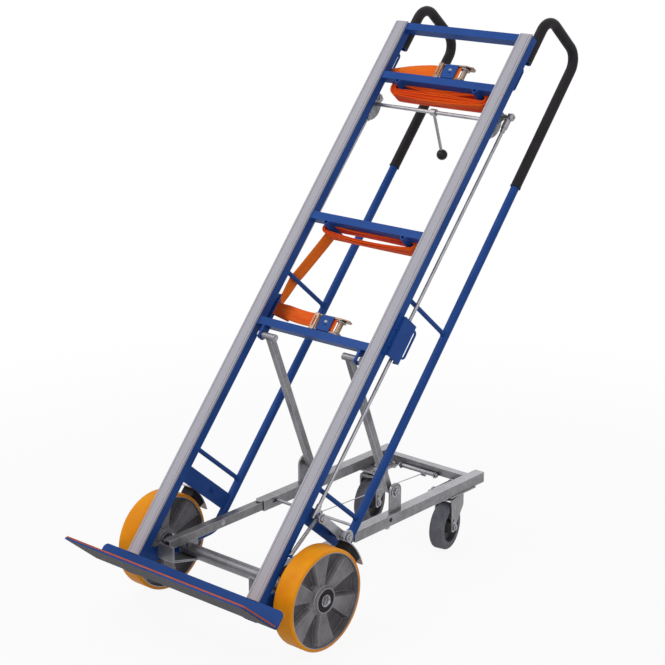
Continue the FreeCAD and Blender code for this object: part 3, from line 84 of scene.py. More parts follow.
# shader values that can be added and multiplied in plain Python
class Wire:
    def __init__(self, board, socket):
        self.board = board
        self.socket = socket

    def __add__(self, other):
        return self.board.calc("ADD", self, other)

    def __radd__(self, other):
        return self.board.calc("ADD", other, self)

    def __sub__(self, other):
        return self.board.calc("SUBTRACT", self, other)

    def __rsub__(self, other):
        return self.board.calc("SUBTRACT", other, self)

    def __mul__(self, other):
        return self.board.calc("MULTIPLY", self, other)

    def __rmul__(self, other):
        return self.board.calc("MULTIPLY", other, self)


class Board:  # the nodes of one material or of the world
    def __init__(self, owner):
        owner.use_nodes = True
        self.tree = owner.node_tree
        self.tree.nodes.clear()

    def plug(self, socket, value):  # a link from a wire, or a fixed value
        if isinstance(value, Wire):
            self.tree.links.new(value.socket, socket)
        else:
            socket.default_value = value

    def add(self, kind, settings=None, sockets=None):
        node = self.tree.nodes.new(kind)
        for key, value in (settings or {}).items():
            setattr(node, key, value)
        for key, value in (sockets or {}).items():
            self.plug(node.inputs[key], value)
        return node

    def wire(self, node, output=0):
        return Wire(self, node.outputs[output])

    def calc(self, operation, *values):
        return self.wire(self.add("ShaderNodeMath", {"operation": operation}, dict(enumerate(values))))

    def seen(self):  # 1 for the rays that show the background
        path = self.add("ShaderNodeLightPath")
        rays = ("Is Camera Ray", "Is Glossy Ray", "Is Transmission Ray")
        camera, glossy, through = [self.wire(path, ray) for ray in rays]
        return self.calc("MINIMUM", camera + glossy + through, 1.0)


socketNames = {"color": "Base Color", "coat": "Coat Weight", "coatRough": "Coat Roughness",
               "sheen": "Sheen Weight", "sheenRough": "Sheen Roughness", "level": "Specular IOR Level"}


class Paint(Board):
    def __init__(self, name, **constants):
        self.material = bpy.data.materials.new(name)
        super().__init__(self.material)
        self.shader = self.add("ShaderNodeBsdfPrincipled")
        self.output = self.add("ShaderNodeOutputMaterial", sockets={"Surface": self.wire(self.shader)})
        self.feed(**constants)

    def feed(self, **values):
        for key, value in values.items():
            socket = self.shader.inputs[socketNames.get(key, key.capitalize())]
            self.plug(socket, (*value, 1) if isinstance(value, tuple) else value)

    def place(self, scale=None, leaned=False):  # where a point is on the object, in metres from the axle
        spot = self.wire(self.add("ShaderNodeTexCoord"), "Object")
        shift = {"Vector": spot, "Location": tuple(axlePoint), "Rotation": (leanTurn if leaned else 0, 0, 0)}
        spot = self.wire(self.add("ShaderNodeMapping", {"vector_type": "TEXTURE"}, shift))
        return self.stretch(spot, scale) if scale else spot

    def stretch(self, spot, scale):
        return self.wire(self.add("ShaderNodeVectorMath", {"operation": "MULTIPLY"}, {0: spot, 1: scale}))

    def parts(self, spot):
        split = self.add("ShaderNodeSeparateXYZ", sockets={0: spot})
        return [self.wire(split, index) for index in range(3)]

    def fromAxle(self):  # distance from the wheel axle, for rings on turned pieces, and distance across
        across, back, up = self.parts(self.place())
        return self.calc("SQRT", back * back + up * up), across

    def noise(self, spot, scale, detail=2.0, roughness=0.5):
        values = {"Vector": spot, "Scale": scale, "Detail": detail, "Roughness": roughness}
        return self.wire(self.add("ShaderNodeTexNoise", sockets=values), "Fac")

    def wave(self, value):  # between 0 and 1
        return self.calc("SINE", value) * 0.5 + 0.5

    def band(self, value, low, high):  # 0 below low, 1 above high, smooth between
        return self.wire(self.add("ShaderNodeMapRange", {"interpolation_type": "SMOOTHSTEP"},
                                  {"Value": value, "From Min": low, "From Max": high}))

    def inside(self, value, low, high, soft):
        return self.band(value, low - soft, low) * (1 - self.band(value, high, high + soft))

    def mix(self, factor, first, second):
        first, second = [colour if isinstance(colour, Wire) else (*colour, 1) for colour in (first, second)]
        ends = {0: factor, 6: first, 7: second}
        return self.wire(self.add("ShaderNodeMix", {"data_type": "RGBA"}, ends), 2)

    def edges(self, radius, low, high):  # 1 along sharp edges, fading over the radius
        rounded = self.wire(self.add("ShaderNodeBevel", {"samples": 4}, {"Radius": radius}))
        flat = self.wire(self.add("ShaderNodeNewGeometry"), "Normal")
        same = self.add("ShaderNodeVectorMath", {"operation": "DOT_PRODUCT"}, {0: rounded, 1: flat})
        return self.band(1 - self.wire(same, "Value"), low, high)

    def corners(self, distance, low, high):  # 1 in corners and under bolt heads, 0 in the open
        node = self.add("ShaderNodeAmbientOcclusion", {"samples": 6}, {"Distance": distance})
        return self.band(1 - self.wire(node, "AO"), low, high)

    def bump(self, height, distance, strength):
        values = {"Height": height, "Distance": distance, "Strength": strength}
        self.feed(normal=self.wire(self.add("ShaderNodeBump", sockets=values)))

    def dress(self, *names):
        for name in names:
            mesh = nodes[name].data
            mesh.materials.clear()
            mesh.materials.append(self.material)
        return self


# blue powder coat
blueCoat = {
    "deep": (0.012, 0.056, 0.238), "bright": (0.018, 0.075, 0.305), "rough": 0.34, "drift": 7, "peel": 900,
    "dust": 60, "under": (0.013, 0.012, 0.021), "underPale": (0.048, 0.045, 0.063), "scuffs": 14,
    "scuffWay": (9, 30, 30), "ragged": 0.004, "underUp": (-0.1205, -0.1190),
    "underBack": (-0.277, -0.140, 0.002), "plate": (0.16, 0.16, 0.17), "plateEdge": (0.30, 0.30, 0.32),
    "plateBack": (-0.1099, -0.1095)}


def makeBlue(name, worn=False, plated=False):
    look = blueCoat
    coat = Paint(name, coatRough=0.12, level=0.08)
    spot = coat.place()
    drift = coat.noise(spot, look["drift"], 3)
    peel = coat.noise(spot, look["peel"], 1)
    dust = coat.noise(spot, look["dust"], 4, 0.7)
    tone = coat.mix(coat.band(drift * 0.8 + peel * 0.2, 0.3, 0.7), look["deep"], look["bright"])
    rough = look["rough"] + 0.14 * dust
    if worn:  # the toe plate is coloured dark grey below, with paler scuffs
        back, up = coat.parts(coat.place(leaned=True))[1:]
        scuff = coat.noise(coat.place(look["scuffWay"], leaned=True), look["scuffs"], 5, 0.75)
        below = 1 - coat.band(up + look["ragged"] * scuff, *look["underUp"])
        bare = coat.mix(coat.band(scuff, 0.35, 0.7), look["under"], look["underPale"])
        tone = coat.mix(below * coat.inside(back, *look["underBack"]), tone, bare)
        rough = rough + 0.2 * below
    if plated:  # the brake shaft plates and spring pins behind the rails are zinc plated
        back = coat.parts(coat.place(leaned=True))[1]
        behind = coat.band(back, *look["plateBack"])
        metal = coat.mix(coat.band(dust, 0.35, 0.7), look["plate"], look["plateEdge"])
        tone = coat.mix(behind, tone, metal)
        coat.feed(metallic=0.85 * behind)
    coat.feed(color=tone, roughness=rough, coat=0.02 + 0.04 * drift)
    coat.bump(peel * 0.6 + dust * 0.4, 0.00012, 0.35)
    return coat


bluePaint = makeBlue("bluePaint").dress(
    "top_crossbar", "upper_crossbar", "middle_crossbar", "lower_crossbar", "left_rear_tube",
    "right_rear_tube", "side_braces", "brake_plates", "axle_plates", "rod_bridges", "upper_ratchet_cover",
    "lower_ratchet_cover", "strap_loops")
makeBlue("toePaint", worn=True).dress("toe_plate")
makeBlue("railPaint", plated=True).dress("left_rail", "right_rail")


# grey plastic slide strips, drawn out along the rails
stripTone = {"pale": (0.445, 0.437, 0.490), "dull": (0.385, 0.378, 0.425), "scuffed": (0.30, 0.295, 0.33),
             "streakWay": (240, 60, 1.2), "streaks": 2.2, "scuffWay": (30, 30, 4), "scuffs": 2.6, "clouds": 5}


def makeStrip():
    look = stripTone
    strip = Paint("stripPlastic", level=0.2)
    streak = strip.noise(strip.place(look["streakWay"], leaned=True), look["streaks"], 4, 0.6)
    marks = strip.noise(strip.place(look["scuffWay"], leaned=True), look["scuffs"], 5, 0.75)
    scuff = strip.band(marks, 0.52, 0.8)
    cloud = strip.noise(strip.place(leaned=True), look["clouds"], 3)
    tone = strip.mix(0.55 * streak + 0.45 * cloud, look["dull"], look["pale"])
    strip.feed(color=strip.mix(scuff * 0.35, tone, look["scuffed"]), roughness=0.46 + 0.16 * streak)
    strip.bump(streak + scuff * 0.3, 0.0002, 0.3)
    return strip


makeStrip().dress("slide_strips")


# bright zinc plating, with soft patches, a painted highlight along the edges and painted shade in the corners
zincTone = {"pale": (0.44, 0.44, 0.47), "dark": (0.27, 0.268, 0.285), "blue": (0.25, 0.27, 0.37),
            "edge": (0.72, 0.72, 0.75), "cornerShade": (0.035, 0.034, 0.037), "patches": 24, "grainWay": (90, 8, 8),
            "grain": 9, "fine": 500, "tints": 11, "highlightReach": 0.0025, "cornerShadeReach": 0.006}
zincLooks = {"zinc": {"shade": 1.0, "rough": 0.3, "metal": 0.9, "rub": 0.0},
             "zincTube": {"shade": 0.68, "rough": 0.26, "metal": 0.6, "rub": 0.8},
             "zincArm": {"shade": 0.54, "rough": 0.24, "metal": 0.65, "rub": 0.8}}


def makeZinc(name):
    look = zincLooks[name]
    shade = look["shade"]
    dark, pale, blue = [[part * shade for part in zincTone[key]] for key in ("dark", "pale", "blue")]
    plate = Paint(name, metallic=look["metal"])
    spot = plate.place()
    patch = plate.noise(spot, zincTone["patches"], 4, 0.6)
    grain = plate.noise(plate.place(zincTone["grainWay"]), zincTone["grain"], 3, 0.7)
    fine = plate.noise(spot, zincTone["fine"], 2)
    tone = plate.mix(plate.band(patch * 0.6 + grain * 0.4, 0.33, 0.68), dark, pale)
    tone = plate.mix(plate.band(plate.noise(spot, zincTone["tints"], 2), 0.58, 0.75) * 0.3, tone, blue)
    # painted highlight: the sharp edges are lightened towards the edge colour, as far as rub sets
    if look["rub"]:
        tone = plate.mix(plate.edges(zincTone["highlightReach"], 0.02, 0.25) * look["rub"], tone, zincTone["edge"])
    # painted shade: corners and the ground under bolt heads are darkened
    tone = plate.mix(plate.corners(zincTone["cornerShadeReach"], 0.12, 0.8) * 0.8, tone, zincTone["cornerShade"])
    plate.feed(color=tone, roughness=look["rough"] + 0.16 * patch + 0.06 * fine)
    plate.bump(grain * 0.5 + fine * 0.5, 0.0001, 0.3)
    return plate


zinc = makeZinc("zinc").dress(
    "brake_shaft", "hand_lever", "brake_rods", "latch_rod", "latch_wire", "latch_spring", "return_springs",
    "strut_pins", "axle", "axle_fittings", "brake_levers", "shoe_plates")
zincTube = makeZinc("zincTube").dress(
    "support_channels", "rear_crossbar", "struts", "strut_brackets", "caster_plates", "left_caster_fork",
    "right_caster_fork")
makeZinc("zincArm").dress("support_arms", "axle_sleeve")


# yellow chromate on the ratchets, drifting from copper to gold, with painted shade in the corners
chromate = {"gold": (0.31, 0.215, 0.160), "copper": (0.22, 0.130, 0.085), "pale": (0.46, 0.42, 0.36),
            "dark": (0.09, 0.066, 0.05), "drift": 70, "tints": 55, "fine": 700, "cornerShadeReach": 0.008}


def makeChromate():
    plate = Paint("yellowZinc", metallic=0.85)
    spot = plate.place()
    drift = plate.noise(spot, chromate["drift"], 3)
    tint = plate.noise(spot, chromate["tints"], 2)
    fine = plate.noise(spot, chromate["fine"], 2)
    tone = plate.mix(plate.band(drift, 0.35, 0.65), chromate["copper"], chromate["gold"])
    tone = plate.mix(plate.band(tint, 0.45, 0.75) * 0.4, tone, chromate["pale"])
    # painted shade: corners and crevices are darkened towards the dark colour
    cornerShade = plate.corners(chromate["cornerShadeReach"], 0.15, 0.8)
    plate.feed(color=plate.mix(cornerShade * 0.85, tone, chromate["dark"]), roughness=0.26 + 0.2 * tint)
    plate.bump(fine, 0.0001, 0.25)
    return plate


yellowZinc = makeChromate().dress("ratchet_frames", "upper_ratchet_handle", "lower_ratchet_handle")


# cast polyurethane treads
treadTone = {"amber": (0.87, 0.330, 0.005), "deep": (0.78, 0.265, 0.005), "dusty": (0.50, 0.20, 0.03),
             "clouds": 16, "fine": 420, "dust": 130, "run": (0.1235, 0.1249)}


def makeTread():
    look = treadTone
    tread = Paint("treadOrange", level=0.12, coatRough=0.25)
    spot = tread.place()
    radius = tread.fromAxle()[0]
    cloud = tread.noise(spot, look["clouds"], 3)
    fine = tread.noise(spot, look["fine"], 3)
    rolled = tread.band(radius, *look["run"])  # the running face is a little duller
    dust = tread.band(tread.noise(spot, look["dust"], 4, 0.7), 0.5, 0.75)
    tone = tread.mix(tread.band(cloud, 0.35, 0.7), look["deep"], look["amber"])
    tone = tread.mix(rolled * dust * 0.25, tone, look["dusty"])
    tread.feed(color=tone, roughness=0.28 + 0.16 * rolled + 0.08 * fine, coat=0.06 * (1 - rolled))
    tread.bump(fine * 0.5 + cloud * 0.5, 0.00015, 0.3)
    return tread


makeTread().dress("left_tyre", "right_tyre")


# sand-cast hubs, turned bright on the rim edge and the bearing seat, with painted shade in the pockets and a
# painted highlight along the sharp edges
castTone = {
    "dark": (0.112, 0.105, 0.114), "pale": (0.240, 0.228, 0.242), "turned": (0.30, 0.29, 0.31),
    "pocket": (0.036, 0.033, 0.038), "edge": (0.52, 0.50, 0.53), "sand": 330, "clouds": 22, "lathe": 9000,
    "rimRing": (0.1152, 0.1180, 0.0004), "seatRing": (0.0225, 0.0312, 0.0004),
    "pocketRing": (0.034, 0.1135, 0.001), "pocketDepth": (0.003, 0.0165), "highlightReach": 0.0026}


def makeCast():
    look = castTone
    cast = Paint("castGrey")
    spot = cast.place()
    radius, across = cast.fromAxle()
    sand = cast.noise(spot, look["sand"], 4, 0.65)
    cloud = cast.noise(spot, look["clouds"], 3)
    bright = cast.inside(radius, *look["rimRing"]) + 0.35 * cast.inside(radius, *look["seatRing"])
    lathe = cast.wave(radius * look["lathe"])
    tone = cast.mix(cast.band(sand * 0.45 + cloud * 0.55, 0.3, 0.7), look["dark"], look["pale"])
    off = cast.calc("ABSOLUTE", cast.calc("ABSOLUTE", across) - wheelMiddle)
    # painted shade: the sunken pocket floors are darkened
    pocket = (1 - cast.band(off, *look["pocketDepth"])) * cast.inside(radius, *look["pocketRing"])
    tone = cast.mix(pocket * 0.8, tone, look["pocket"])
    # painted highlight: the sharp edges are lightened towards the edge colour
    tone = cast.mix(cast.edges(look["highlightReach"], 0.02, 0.2) * 0.8, tone, look["edge"])
    cast.feed(color=cast.mix(bright, tone, look["turned"]), metallic=0.45 + 0.45 * bright,
              roughness=0.5 + 0.12 * sand - 0.2 * bright)
    cast.bump(sand * (1 - bright) + lathe * bright * 0.2, 0.0004, 0.45)
    return cast


castGrey = makeCast().dress("left_hub", "right_hub")


# ball bearings: bright races and a black seal between them
sealTone = {"race": (0.48, 0.48, 0.50), "seal": (0.018, 0.018, 0.02), "ring": (0.0132, 0.0205, 0.0002),
            "fine": 600, "grooves": 7000}


def makeBearing():
    bearing = Paint("bearingRings")
    radius = bearing.fromAxle()[0]
    seal = bearing.inside(radius, *sealTone["ring"])
    fine = bearing.noise(bearing.place(), sealTone["fine"], 2)
    groove = bearing.wave(radius * sealTone["grooves"])
    bearing.feed(color=bearing.mix(seal, sealTone["race"], sealTone["seal"]), metallic=0.95 - 0.95 * seal,
                 roughness=0.22 + 0.3 * seal + 0.06 * fine)
    bearing.bump(groove * (1 - seal) * 0.2 + seal * fine, 0.0002, 0.4)
    return bearing


makeBearing().dress("left_bearings", "right_bearings")


# soft black grips, rubber shoes, the mat and the casters
rubberLooks = {
    "gripRubber": {"base": (0.011, 0.009, 0.012), "worn": (0.026, 0.022, 0.027), "grain": 520, "rough": 0.55},
    "shoeRubber": {"base": (0.012, 0.012, 0.013), "worn": (0.04, 0.04, 0.042), "grain": 300, "rough": 0.7},
    "matRubber": {"base": (0.48, 0.085, 0.022), "worn": (0.60, 0.14, 0.04), "grain": 260, "rough": 0.62},
    "casterGrey": {"base": (0.112, 0.112, 0.136), "worn": (0.190, 0.190, 0.222), "grain": 380, "rough": 0.55},
    "casterBlack": {"base": (0.036, 0.034, 0.038), "worn": (0.085, 0.08, 0.087), "grain": 240, "rough": 0.42}}
rubberScuffs = 28


def makeRubber(name):
    look = rubberLooks[name]
    rubber = Paint(name, level=0.2)
    spot = rubber.place()
    grain = rubber.noise(spot, look["grain"], 3, 0.6)
    scuff = rubber.noise(spot, rubberScuffs, 4, 0.7)
    tone = rubber.mix(rubber.band(scuff * 0.7 + grain * 0.3, 0.4, 0.72), look["base"], look["worn"])
    rubber.feed(color=tone, roughness=look["rough"] + 0.18 * scuff)
    rubber.bump(grain, 0.0003, 0.4)
    return rubber


gripRubber = makeRubber("gripRubber").dress("hand_grips")
makeRubber("shoeRubber").dress("brake_shoes")
makeRubber("matRubber").dress("toe_mat")
makeRubber("casterGrey").dress("left_caster_tyre", "right_caster_tyre")
makeRubber("casterBlack").dress("left_caster_hub", "right_caster_hub")


# polished phenolic knob
knobTone = {"black": (0.010, 0.009, 0.011), "rub": (0.03, 0.028, 0.032), "haze": 120}


def makeKnob():
    knob = Paint("knobGloss", level=0.12, coatRough=0.05)
    haze = knob.noise(knob.place(), knobTone["haze"], 3)
    tone = knob.mix(haze, knobTone["black"], knobTone["rub"])
    knob.feed(color=tone, roughness=0.12 + 0.1 * haze, coat=0.03 + 0.04 * haze)
    knob.bump(haze, 0.0001, 0.2)
    return knob


makeKnob().dress("lever_knob")
print("materials made for the CAD nodes")


# woven strap, with ribs along it and picks across, painted light and shade along its turns, painted shade in
# the crevices and a painted highlight at the selvedges; a piece stores across, along and its share of painted
# light in its lay
weave = {
    "lit": (0.93, 0.132, 0.009), "dark": (0.80, 0.036, 0.008), "edge": (0.95, 0.23, 0.015),
    "paintedLightTone": (0.95, 0.27, 0.022), "shade": (0.74, 0.020, 0.009), "ribs": 15, "pick": 0.0017,
    "selvedgeHighlight": (0.44, 0.485), "streakWay": (1.1, 4.0, 0), "streaks": 1.6, "clouds": 60, "fuzz": 1500,
    "shadeReach": 0.025}


def makeWeave():
    web = Paint("strapWeave", sheen=0.04, sheenRough=0.4, level=0.1)
    lay = web.wire(web.add("ShaderNodeAttribute", {"attribute_name": "lay"}), "Vector")
    across, along, paintedLight = web.parts(lay)
    rib = web.wave(across * (2 * math.pi * weave["ribs"]))
    pick = web.wave(along * (2 * math.pi / weave["pick"]) + rib * math.pi)
    selvedgeHighlight = web.band(web.calc("ABSOLUTE", across), *weave["selvedgeHighlight"])
    streak = web.noise(web.stretch(lay, weave["streakWay"]), weave["streaks"], 3, 0.6)  # long shaded parts
    cloud = web.noise(web.place(), weave["clouds"], 3)
    fuzz = web.noise(web.place(), weave["fuzz"], 2)
    light = 0.16 * pick + 0.16 * rib + 0.18 * cloud + 0.5 * web.band(streak, 0.36, 0.64)
    tone = web.mix(web.band(light, 0.2, 0.85), weave["dark"], weave["lit"])
    tone = web.mix(web.corners(weave["shadeReach"], 0.35, 0.95) * 0.7, tone, weave["shade"])
    # painted light: each piece is lightened and yellowed by its share of painted light
    tone = web.mix(paintedLight * (0.4 + 0.6 * pick), tone, weave["paintedLightTone"])
    # painted highlight: the selvedges are lightened towards the edge colour
    web.feed(color=web.mix(selvedgeHighlight * 0.3, tone, weave["edge"]), roughness=0.62 + 0.2 * fuzz)
    web.bump(pick * 0.6 + rib * 0.4 + fuzz * 0.3, 0.0005, 0.5)
    return web


strapWeave = makeWeave()


def meshPiece(name, mesh, paint, body):
    piece = bpy.data.objects.new(name, mesh)
    bpy.context.scene.collection.objects.link(piece)
    mesh.materials.append(paint.material)
    for face in mesh.polygons:
        face.use_smooth = True
    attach(piece, body)
    return piece


# a flat strap through stations, each a point, the way of its width, its width and how far it is cupped
strapSection = {"cuts": (-0.5, -0.487, -0.33, -0.17, 0.0, 0.17, 0.33, 0.487, 0.5), "half": 0.5,
                "thinEdge": 0.15}


def strapPiece(name, stations, thick, paintedLight=0.0):
    half = strapSection["half"]
    upper = [(cut, half if abs(cut) < half else strapSection["thinEdge"]) for cut in strapSection["cuts"]]
    rim = upper + [(cut, -rise) for cut, rise in upper[::-1]]
    verts, lays, faces = [], [], []
    run = 0.0
    for index, (point, wide, size, cup) in enumerate(stations):
        before = stations[max(index - 1, 0)][0]
        after = stations[min(index + 1, len(stations) - 1)][0]
        run += (point - before).length
        heading = (after - before).normalized()
        side = (wide - heading * wide.dot(heading)).normalized()
        out = side.cross(heading)
        for across, rise in rim:
            bulge = cup * (1 - 4 * across * across)
            verts.append(tuple(truck @ (point + side * (across * size) + out * (rise * thick + bulge))))
            lays += (across, run, paintedLight)
    count = len(rim)
    last = (len(stations) - 1) * count
    for here in range(0, last, count):
        for col in range(count):
            beside = here + (col + 1) % count
            faces.append((here + col, beside, beside + count, here + col + count))
    for low in range(len(upper) - 1):  # both cut ends
        high = count - 1 - low
        faces.append((low, high, high - 1, low + 1))
        faces.append((last + low + 1, last + high - 1, last + high, last + low))
    mesh = bpy.data.meshes.new(name)
    mesh.from_pydata(verts, [], faces)
    mesh.attributes.new("lay", "FLOAT_VECTOR", "POINT").data.foreach_set("vector", lays)
    mesh.update()
    return meshPiece(name, mesh, strapWeave, "frame")


def smoothLine(points, steps):  # an even curve through points of any length
    ends = [points[0] * 2 - points[1]] + list(points) + [points[-1] * 2 - points[-2]]
    line = []
    for p0, p1, p2, p3 in zip(ends, ends[1:], ends[2:], ends[3:]):
        for step in range(steps):
            t = step / steps
            line.append(0.5 * ((2 * p1) + (p2 - p0) * t + (2 * p0 - 5 * p1 + 4 * p2 - p3) * t * t
                               + (3 * p1 - p0 - 3 * p2 + p3) * t * t * t))
    line.append(points[-1].copy())
    return line


# hanks of strap hung on the pegs: loops wound outwards, the upper runs sagging towards the lower ones
hanks = {
    "upperStrapHank": {"node": "upper_strap_hank", "bar": "upper", "loops": 8, "sag": 0.0015,
                       "droop": 0.0125, "loosen": 0.0008, "fan": 1.3, "forward": 0.006, "tilt": 0},
    "middleStrapHank": {"node": "middle_strap_hank", "bar": "middle", "loops": 4, "sag": 0.0055,
                        "droop": 0.0015, "loosen": 0.0006, "fan": 1.0, "forward": 0.004, "tilt": 14}}
hankForm = {"end": 0.136, "hold": 0.014, "pegDrop": 0.013, "gap": 0.0011, "pitch": 0.0022, "setback": 0.0905,
            "width": 0.037, "thick": 0.0016, "stagger": 0.0014, "staggerTurn": 2.4, "staggerRun": 9,
            "hangPower": 1.2, "upperFan": 0.5, "upperTilt": 0.6, "skew": 0.12, "halfSteps": 8, "arcSteps": 12}


def makeHank(name):
    hank = hanks[name]
    form = hankForm
    end, pitch = form["end"], form["pitch"]
    low = crossbars[hank["bar"]] - barHeight
    crest = low + form["gap"]
    belly = low - form["pegDrop"] - form["gap"]
    middle = (crest + belly) / 2
    runSteps = [step / form["halfSteps"] - 1 for step in range(2 * form["halfSteps"] + 1)]
    arcSteps = [step / form["arcSteps"] for step in range(1, form["arcSteps"])]
    stations = []

    def lay(x, z, turn, lean, forward=0.0):
        fan = math.radians(lean)
        stagger = form["stagger"] * math.sin(form["staggerTurn"] * turn + form["staggerRun"] * x)
        back = stagger - form["setback"] - forward
        stations.append((Vector((x, back, z)), Vector((0, math.cos(fan), math.sin(fan))), form["width"], 0))

    for turn in range(hank["loops"]):
        grow = pitch * turn
        size = (crest - belly) / 2 + grow
        for step in runSteps:  # over the pegs
            x = end * step
            hang = max(0.0, 1 - (x / (end - form["hold"])) ** 2) ** form["hangPower"]
            lean = (form["upperFan"] * hank["fan"] * turn + form["upperTilt"] * hank["tilt"]) * hang
            lay(x, crest + grow - hank["droop"] * hang, turn, lean)
        for step in arcSteps:  # round the right peg
            angle = math.pi * step
            lay(end + size * math.sin(angle), middle + size * math.cos(angle), turn, 0)
        for step in runSteps:  # the slack lower run
            x = -end * step
            hang = 1 - (x / end) ** 2
            drop = hank["sag"] * hang * (1 + form["skew"] * x / end) + hank["loosen"] * turn * hang
            lean = (hank["fan"] * (turn - 1) + hank["tilt"]) * hang
            lay(x, belly - grow - drop, turn, lean, hank["forward"] * hang)
        for step in arcSteps:  # round the left peg, growing by one pitch
            angle = math.pi * (1 + step)
            rise = pitch * step / 2
            wide = size + rise
            lay(-end + wide * math.sin(angle), middle + wide * math.cos(angle) + rise, turn, 0)
    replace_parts(strapPiece(name, stations, form["thick"]), hank["node"])


# straps from the ratchets round the left loops, and the long one up to the middle hank:
# across, back, up, width and cup at each place
runForm = {"thick": 0.0018, "steps": 6}
runs = {
    "upperStrapRun": {"paintedLight": 0.65, "wide": (0, 0, 1), "places": [
        (0.050, -0.1285, 1.3640, 0.034, 0), (0.020, -0.1250, 1.3640, 0.034, 0),
        (-0.005, -0.1170, 1.3640, 0.034, 0), (-0.0195, -0.1205, 1.3645, 0.036, 0),
        (-0.050, -0.1165, 1.3672, 0.037, 0.0005), (-0.082, -0.1115, 1.3668, 0.037, 0.001),
        (-0.114, -0.1060, 1.3665, 0.035, 0.002), (-0.145, -0.1005, 1.3660, 0.031, 0.004),
        (-0.172, -0.0965, 1.3660, 0.023, 0.006), (-0.193, -0.0940, 1.3668, 0.015, 0.005),
        (-0.2035, -0.0915, 1.3685, 0.013, 0.002), (-0.2062, -0.0860, 1.3690, 0.013, 0.001),
        (-0.2030, -0.0808, 1.3690, 0.013, 0.002), (-0.190, -0.0790, 1.3680, 0.016, 0.005),
        (-0.168, -0.0810, 1.3675, 0.022, 0.006), (-0.140, -0.0850, 1.3670, 0.030, 0.003),
        (-0.118, -0.0880, 1.3665, 0.034, 0.001)]},
    "lowerStrapRun": {"paintedLight": 0.35, "wide": (0, 0, 1), "places": [
        (0.050, -0.1285, 0.6190, 0.034, 0), (0.020, -0.1250, 0.6190, 0.034, 0),
        (-0.005, -0.1170, 0.6195, 0.034, 0), (-0.0195, -0.1205, 0.6215, 0.036, 0),
        (-0.040, -0.1130, 0.6262, 0.038, 0.0005), (-0.077, -0.0985, 0.6310, 0.038, 0.001),
        (-0.118, -0.0840, 0.6375, 0.038, 0.001), (-0.170, -0.0655, 0.6475, 0.037, 0.001),
        (-0.205, -0.0555, 0.6525, 0.034, 0.001), (-0.2235, -0.0525, 0.6535, 0.033, 0),
        (-0.2285, -0.0510, 0.6540, 0.033, 0), (-0.2293, -0.0478, 0.6540, 0.033, 0),
        (-0.2275, -0.0446, 0.6540, 0.033, 0), (-0.2195, -0.0436, 0.6535, 0.033, 0),
        (-0.190, -0.0505, 0.6480, 0.034, 0.001), (-0.150, -0.0645, 0.6395, 0.035, 0.001)]},
    "diagonalStrap": {"paintedLight": 0.75, "wide": (0, 1, 0), "places": [
        (-0.1520, -0.0640, 0.8905, 0.040, 0), (-0.1590, -0.0620, 0.8690, 0.040, 0),
        (-0.1790, -0.0575, 0.8160, 0.039, 0), (-0.1980, -0.0540, 0.7660, 0.038, 0),
        (-0.2073, -0.0530, 0.7420, 0.037, 0.0005), (-0.2110, -0.0515, 0.7200, 0.033, 0.002),
        (-0.2150, -0.0490, 0.6990, 0.028, 0.003), (-0.2185, -0.0480, 0.6840, 0.025, 0.003),
        (-0.2210, -0.0475, 0.6730, 0.024, 0.002)]}}


def makeRun(name):
    run = runs[name]
    line = smoothLine([Vector(place[:3]) for place in run["places"]], runForm["steps"])
    sizes = smoothLine([Vector((*place[3:], 0)) for place in run["places"]], runForm["steps"])
    stations = [(point, Vector(run["wide"]), size.x, max(size.y, 0)) for point, size in zip(line, sizes)]
    return strapPiece(name, stations, runForm["thick"], run["paintedLight"])


for hankName in hanks:
    makeHank(hankName)
runPieces = {runName: makeRun(runName) for runName in runs}
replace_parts(runPieces["upperStrapRun"], "strap_runs")
print("straps laid")


def circle(count):  # angles evenly round a circle
    return [2 * math.pi * step / count for step in range(count)]


def squareWays(axis):  # the axis and two ways square to it
    axis = Vector(axis).normalized()
    flat = axis.orthogonal().normalized()
    return axis, flat, axis.cross(flat)


# turned and hexagonal hardware gathered into one mesh for each body
boltForm = {"washer": 0.0013, "washerFlat": 0.001, "washerShare": 0.86, "washerTopShare": 0.83,
            "studShare": 0.3, "studTipShare": 0.22, "studOut": 0.0012, "studEnd": 0.0018, "sideShare": 0.78,
            "crownShare": 0.86, "washerCount": 24, "studCount": 14}
weldForm = {"bead": 0.0024, "ring": 0.0022, "ripple": 0.0032, "step": 0.0008, "rippleShare": 0.16,
            "taper": 6, "tipShare": 0.25, "fewest": 8, "count": 9, "ringRippleShare": 0.15, "ringRipples": 11,
            "ringSteps": 48, "ringCount": 7}
cornerEase = 1.4  # a corner moves this much further in than the edges beside it
creaseAngle = math.radians(32)


